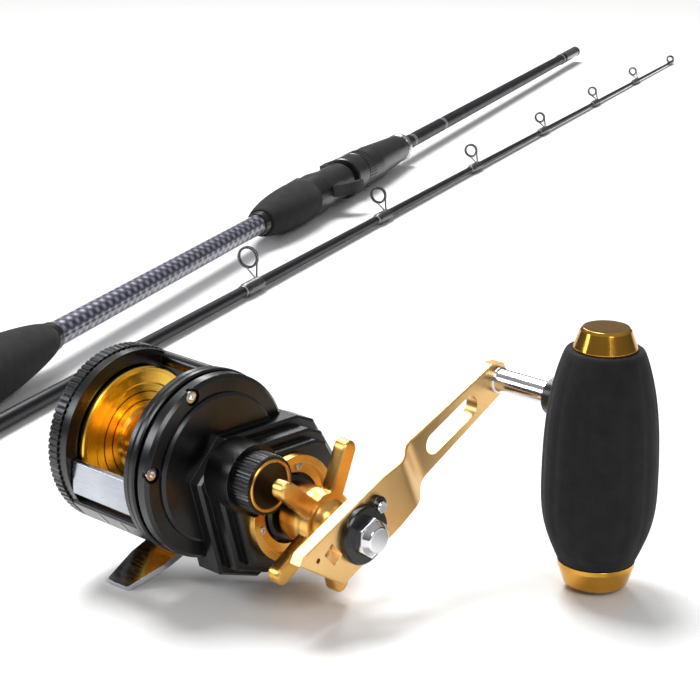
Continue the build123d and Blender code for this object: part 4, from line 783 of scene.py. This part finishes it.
@dataclass
class ButtSection:
    """The butt section: foam grips, woven sleeve, reel seat with its nut, and the lower blank."""

    length: float = 1147.0
    ferrule_depth: float = 50.0
    rear_r: float = 6.0         # blank at the butt end
    front_r: float = 3.9        # blank at the ferrule end
    grip: tuple[float, float] = (6.0, 136.0)
    grip_r: float = 15.6
    nose_r: float = 8.2         # front end of the butt grip
    rear_nose_r: float = 8.0    # rear end of the grip behind the seat
    rear_grip: tuple[float, float] = (398.0, 468.0)
    seat_r: float = 12.0
    bands: tuple[float, ...] = (672.0, 675.0, 742.0, 745.0, 1092.0, 1147.0 - 2.2)
    band_w: float = 1.2
    ferrule_start: float = 1090.0       # from here the bands stand as high as the ferrule's winding
    band_rise: tuple[float, float] = (0.12, 0.62)   # height of the bands behind and past that point

    def place(self) -> Place:
        """Return the section's place from its ferrule and its reel pad."""
        socket = mount("ferrule_socket")
        return section_place(socket, self.length - self.ferrule_depth / 2, Vector(socket["axis"]),
                             Vector(mount("seat_pad")["axis"]))

    def blank_r(self, length: float) -> float:
        """Return the blank's radius at a length."""
        return self.rear_r + (self.front_r - self.rear_r) * length / self.length

    def dress(self) -> None:
        """Give the section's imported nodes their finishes."""
        place = self.place()
        wear(CarbonTube("clear_coated_carbon", place).material(), "butt_blank")
        wear(WovenSleeve("braided_sleeve", place).material(), "woven_sleeve")
        wear(BlackAnodised("black_anodised_collar", place).material(), "butt_collar", "rear_collar")
        nylon = MouldedNylon("glass_filled_nylon", place).material()
        wear(nylon, "reel_seat", "moving_hood", "seat_nut")
        wear(EvaFoam("moulded_rubber_cap", place, "#0D0D0E", "#171719", 1.1).material(), "butt_cap")
        wear(Steel("polished_aluminium", place, "#D9DADD", "#C2C4C9", (0.12, 0.24)).material(), "fore_ring")
        wear(LacqueredThread("lacquered_black_thread", place, "#1A1A22", "#08080C").material(),
             "ferrule_winding")

    def foam_grips(self) -> list[bpy.types.Object]:
        """Build the long butt grip and the short grip behind the reel seat."""
        place = self.place()
        foam = EvaFoam("ground_eva_grip", place).material()
        start, end = self.grip
        long_grip = [(start, self.grip_r - 0.9), (start + 0.5, self.grip_r - 0.5)]
        long_grip += curve((start + 1.5, self.grip_r - 0.2), (start + 42.0, self.grip_r + 0.4),
                           (end - 60.0, self.grip_r - 0.2), (end - 34.0, self.grip_r - 2.8), 24)
        long_grip += curve((end - 34.0, self.grip_r - 2.8), (end - 20.0, self.grip_r - 4.3),
                           (end - 10.0, self.nose_r + 1.9), (end - 1.0, self.nose_r - 0.2), 14)[1:]
        long_grip += [(end - 0.3, self.nose_r - 0.6), (end, self.nose_r - 0.9)]
        start, end = self.rear_grip
        short_grip = [(start, self.rear_nose_r - 0.4), (start + 0.4, self.rear_nose_r)]
        short_grip += curve((start + 1.0, self.rear_nose_r + 0.3), (start + 12.0, self.seat_r - 1.2),
                            (start + 28.0, self.seat_r + 0.7), (start + 52.0, self.seat_r + 0.9), 20)
        short_grip += curve((start + 52.0, self.seat_r + 0.9), (start + 60.0, self.seat_r + 0.9),
                            (end - 5.0, self.seat_r + 0.2), (end - 0.02, self.seat_r), 8)[1:]
        made = []
        grips = (("butt_foam", "butt_grip", long_grip), ("rear_foam", "rear_grip", short_grip))
        for name, node, outside in grips:
            mesh = bmesh.new()
            turn_profile(mesh, place, bored(outside, lambda y: self.blank_r(y) + 0.02), 72)
            piece = new_piece(name, mesh, foam)
            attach(piece, "butt_section")
            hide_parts(node)
            made.append(piece)
        return made

    def trim_bands(self) -> bpy.types.Object:
        """Build the thin silver bands that dress the blank."""
        place = self.place()
        mesh = bmesh.new()
        for start in self.bands:
            radius = self.blank_r(start)
            over = radius + self.band_rise[start > self.ferrule_start]
            section = [(start, radius - 0.1), (start, over - 0.05), (start + 0.1, over),
                       (start + self.band_w - 0.1, over), (start + self.band_w, over - 0.05),
                       (start + self.band_w, radius - 0.1)]
            turn_profile(mesh, place, section, 48)
        silver = LacqueredThread("silver_trim_thread", place, "#B9BAC2", "#6E7078").material()
        bands = new_piece("blank_trim_bands", mesh, silver)
        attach(bands, "butt_section")
        return bands


@dataclass
class TipSection:
    """The tip section: solid tapered blank, guides with their thread wraps, and the tip-top."""

    length: float = 1120.0
    rear_r: float = 3.5
    front_r: float = 0.9
    spigot_middle: float = -23.21       # middle of the bare spigot, along the section
    roll: float = 48.0                  # the guides lean this far from straight up
    from_tip: tuple[float, ...] = (105.0, 222.0, 355.0, 502.0, 665.0, 845.0)
    bores: tuple[float, ...] = (2.3, 2.5, 2.7, 3.3, 3.9, 4.8)
    thread: float = 0.5
    foot_lean: float = 0.75     # how far a guide's foot lies behind its ring, as a share of its height

    def place(self) -> Place:
        """Return the section's place from its spigot and its roll."""
        spigot = mount("ferrule_spigot")
        up = Vector((-sin(radians(self.roll)), 0.0, cos(radians(self.roll))))
        return section_place(spigot, self.spigot_middle, -Vector(spigot["axis"]), up)

    def blank_r(self, length: float) -> float:
        """Return the blank's radius at a length."""
        return self.rear_r + (self.front_r - self.rear_r) * length / self.length

    def dress(self) -> None:
        """Give the section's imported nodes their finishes."""
        place = self.place()
        wear(CarbonTube("clear_coated_tip_carbon", place).material(), "tip_blank", "ferrule_spigot")
        wear(Steel("darkened_stainless_wire", place, "#8E9096", "#65676D", (0.14, 0.26)).material(),
             "guide_frames", "tip_top")
        wear(MouldedNylon("polished_ceramic", place, "#2B2C30", "#3A3B40", (0.06, 0.14), 2.0).material(),
             "guide_rings", "tip_top_ring")

    def wrap_span(self, distance: float, bore: float) -> tuple[float, float]:
        """Return the start and the end of the thread wrap behind a guide.

        Args:
            distance: The guide's distance from the rod tip.
            bore: The radius of its ring.

        Returns:
            Two lengths along the section.
        """
        height = 2.0 * bore + 3.2
        end = self.length - distance - height * self.foot_lean - 1.0
        return end - 12.0 - 1.6 * bore, end

    def wound(self, start: float, end: float) -> Profile:
        """Return the half section of one wrap, with a ridge for every turn of the thread."""
        outside = []
        turns = int((end - start) / self.thread)
        for step in range(4 * turns + 1):
            length = start + (end - start) * step / (4 * turns)
            climb = min(1.0, (length - start) / 3.0)
            shoulder = min(1.0, (end - length) / 1.0)
            build = 0.25 + 0.62 * climb * (0.4 + 0.6 * shoulder)
            outside.append((length, self.blank_r(length) + build + 0.07 * abs(sin(pi * step / 4))))
        return bored(outside, lambda y: self.blank_r(y) + 0.02)

    def thread_wraps(self) -> list[bpy.types.Object]:
        """Build the wraps that hold the guides, and a silver band at each wrap's rear end."""
        place = self.place()
        wraps, trims = bmesh.new(), bmesh.new()
        for distance, bore in zip(self.from_tip, self.bores):
            start, end = self.wrap_span(distance, bore)
            turn_profile(wraps, place, self.wound(start, end), 40)
            radius = self.blank_r(start)
            turn_profile(trims, place, [
                (start - 1.4, radius + 0.02), (start - 1.4, radius + 0.2), (start - 1.1, radius + 0.3),
                (start - 0.3, radius + 0.3), (start, radius + 0.2), (start, radius + 0.02),
            ], 40)
        black = LacqueredThread("lacquered_guide_thread", place, "#17171E", "#060609").material()
        silver = LacqueredThread("silver_guide_thread", place, "#A9ABB4", "#5E6068").material()
        pieces = [new_piece("guide_thread_wraps", wraps, black, 60.0),
                  new_piece("guide_trim_bands", trims, silver)]
        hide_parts("guide_windings")
        for piece in pieces:
            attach(piece, "tip_section")
        return pieces


# ---- Studio ----------------------------------------------------------------------------------------
@dataclass(frozen=True)
class SoftBox:
    """A soft light: where it stands from the reel's middle, its size and its power."""

    name: str
    stands: tuple[float, float, float]      # metres from the reel's middle
    size: float
    watts: float
    tint: str = "#FFFFFF"


@dataclass
class Studio:
    """Pale floor, soft light and the camera at the product view."""

    reel: Reel
    camera_stands: tuple[float, float, float] = (0.32605, -0.60620, 0.23514)   # metres from the reel
    forward: tuple[float, float, float] = (-0.37535, 0.88341, -0.28054)
    right: tuple[float, float, float] = (0.92084, 0.38992, -0.00421)
    lens: float = 108.0
    floor_half: float = 8.0
    boxes: tuple[SoftBox, ...] = (
        SoftBox("rear_box", (-0.45, 1.1, 0.9), 0.5, 7.0),
        SoftBox("front_box", (0.9, -0.8, 0.8), 0.45, 6.0),
        SoftBox("left_strip", (-1.1, -0.5, 0.6), 0.4, 5.0, "#F4F7FF"),
    )
    sun_from: tuple[float, float, float] = (-0.35, 0.25, 0.9)
    sun_spread: float = 24.0        # degrees across, which sets how soft the shadows are
    sun_power: float = 2.9
    room: tuple[float, float] = (0.10, 0.42)    # brightness of the room at the floor line and above

    def build(self) -> None:
        """Build the floor, the lights, the surroundings and the camera."""
        self.floor()
        self.surroundings()
        self.sun()
        for box in self.boxes:
            self.light(box)
        self.camera()
        bpy.context.scene.view_settings.view_transform = "Standard"

    def floor(self) -> None:
        """Build the pale floor under the outfit."""
        made = bmesh.new()
        bmesh.ops.create_grid(made, x_segments=2, y_segments=2, size=self.floor_half)
        ground = Place(Vector(), Vector((1, 0, 0)), Vector((0, 1, 0)), Vector((0, 0, 1)))
        paper = PaintedMark("white_studio_paper", ground, "#F4F4F3", "#F0F0EF").material()
        floor = new_piece("floor", made, paper)

    def surroundings(self) -> None:
        """Light the room softly: white above, darker towards the floor line."""
        world = bpy.data.worlds.new("studio_room")
        bpy.context.scene.world = world
        world.use_nodes = True
        tree = world.node_tree
        tree.nodes.clear()
        seen = add_node(tree, "ShaderNodeTexCoord")
        parts = add_node(tree, "ShaderNodeSeparateXYZ", links={"Vector": seen.outputs["Generated"]})
        height = add_node(tree, "ShaderNodeMapRange", {
            "From Min": 0.0, "From Max": 0.8, "To Min": self.room[0], "To Max": self.room[1],
        }, {"Value": parts.outputs["Z"]})
        sky = add_node(tree, "ShaderNodeBackground", links={"Color": height.outputs["Result"]})
        add_node(tree, "ShaderNodeOutputWorld", links={"Surface": sky.outputs["Background"]})

    def sun(self) -> None:
        """Hang the broad even light that whitens the floor."""
        lamp = bpy.data.lights.new("broad_light", "SUN")
        lamp.energy = self.sun_power
        lamp.angle = radians(self.sun_spread)
        hung = bpy.data.objects.new("broad_light", lamp)
        hung.rotation_euler = (-Vector(self.sun_from)).to_track_quat("-Z", "Y").to_euler()
        bpy.context.scene.collection.objects.link(hung)

    def light(self, box: SoftBox) -> None:
        """Hang one soft box and aim it at the reel."""
        lamp = bpy.data.lights.new(box.name, "AREA")
        lamp.size = box.size
        lamp.energy = box.watts
        lamp.color = linear(box.tint)[:3]
        hung = bpy.data.objects.new(box.name, lamp)
        hung.location = self.reel.place.origin + Vector(box.stands)
        hung.rotation_euler = (-Vector(box.stands)).to_track_quat("-Z", "Y").to_euler()
        bpy.context.scene.collection.objects.link(hung)

    def camera(self) -> None:
        """Stand the camera and make it the scene's own."""
        lens = bpy.data.cameras.new("product_camera")
        lens.lens = self.lens
        lens.clip_end = 40.0
        stand = bpy.data.objects.new("product_camera", lens)
        forward = Vector(self.forward).normalized()
        right = Vector(self.right).normalized()
        turn = Matrix((right, right.cross(forward), -forward)).transposed()
        middle = self.reel.place.origin + Vector(self.camera_stands)
        stand.matrix_world = Matrix.Translation(middle) @ turn.to_4x4()
        bpy.context.scene.collection.objects.link(stand)
        bpy.context.scene.camera = stand


def main() -> None:
    """Build every sub-assembly in order."""
    logging.basicConfig(level=logging.INFO, format="%(name)s: %(message)s")
    reel = Reel()
    Studio(reel).build()
    reel.dress()
    log.info("piece %s", reel.index_marks().name)
    handle = Handle(reel)
    handle.dress()
    log.info("piece %s", handle.foam().name)
    butt = ButtSection()
    butt.dress()
    for piece in (*butt.foam_grips(), butt.trim_bands()):
        log.info("piece %s", piece.name)
    tip = TipSection()
    tip.dress()
    for piece in tip.thread_wraps():
        log.info("piece %s", piece.name)


if __name__ == "__main__":
    main()
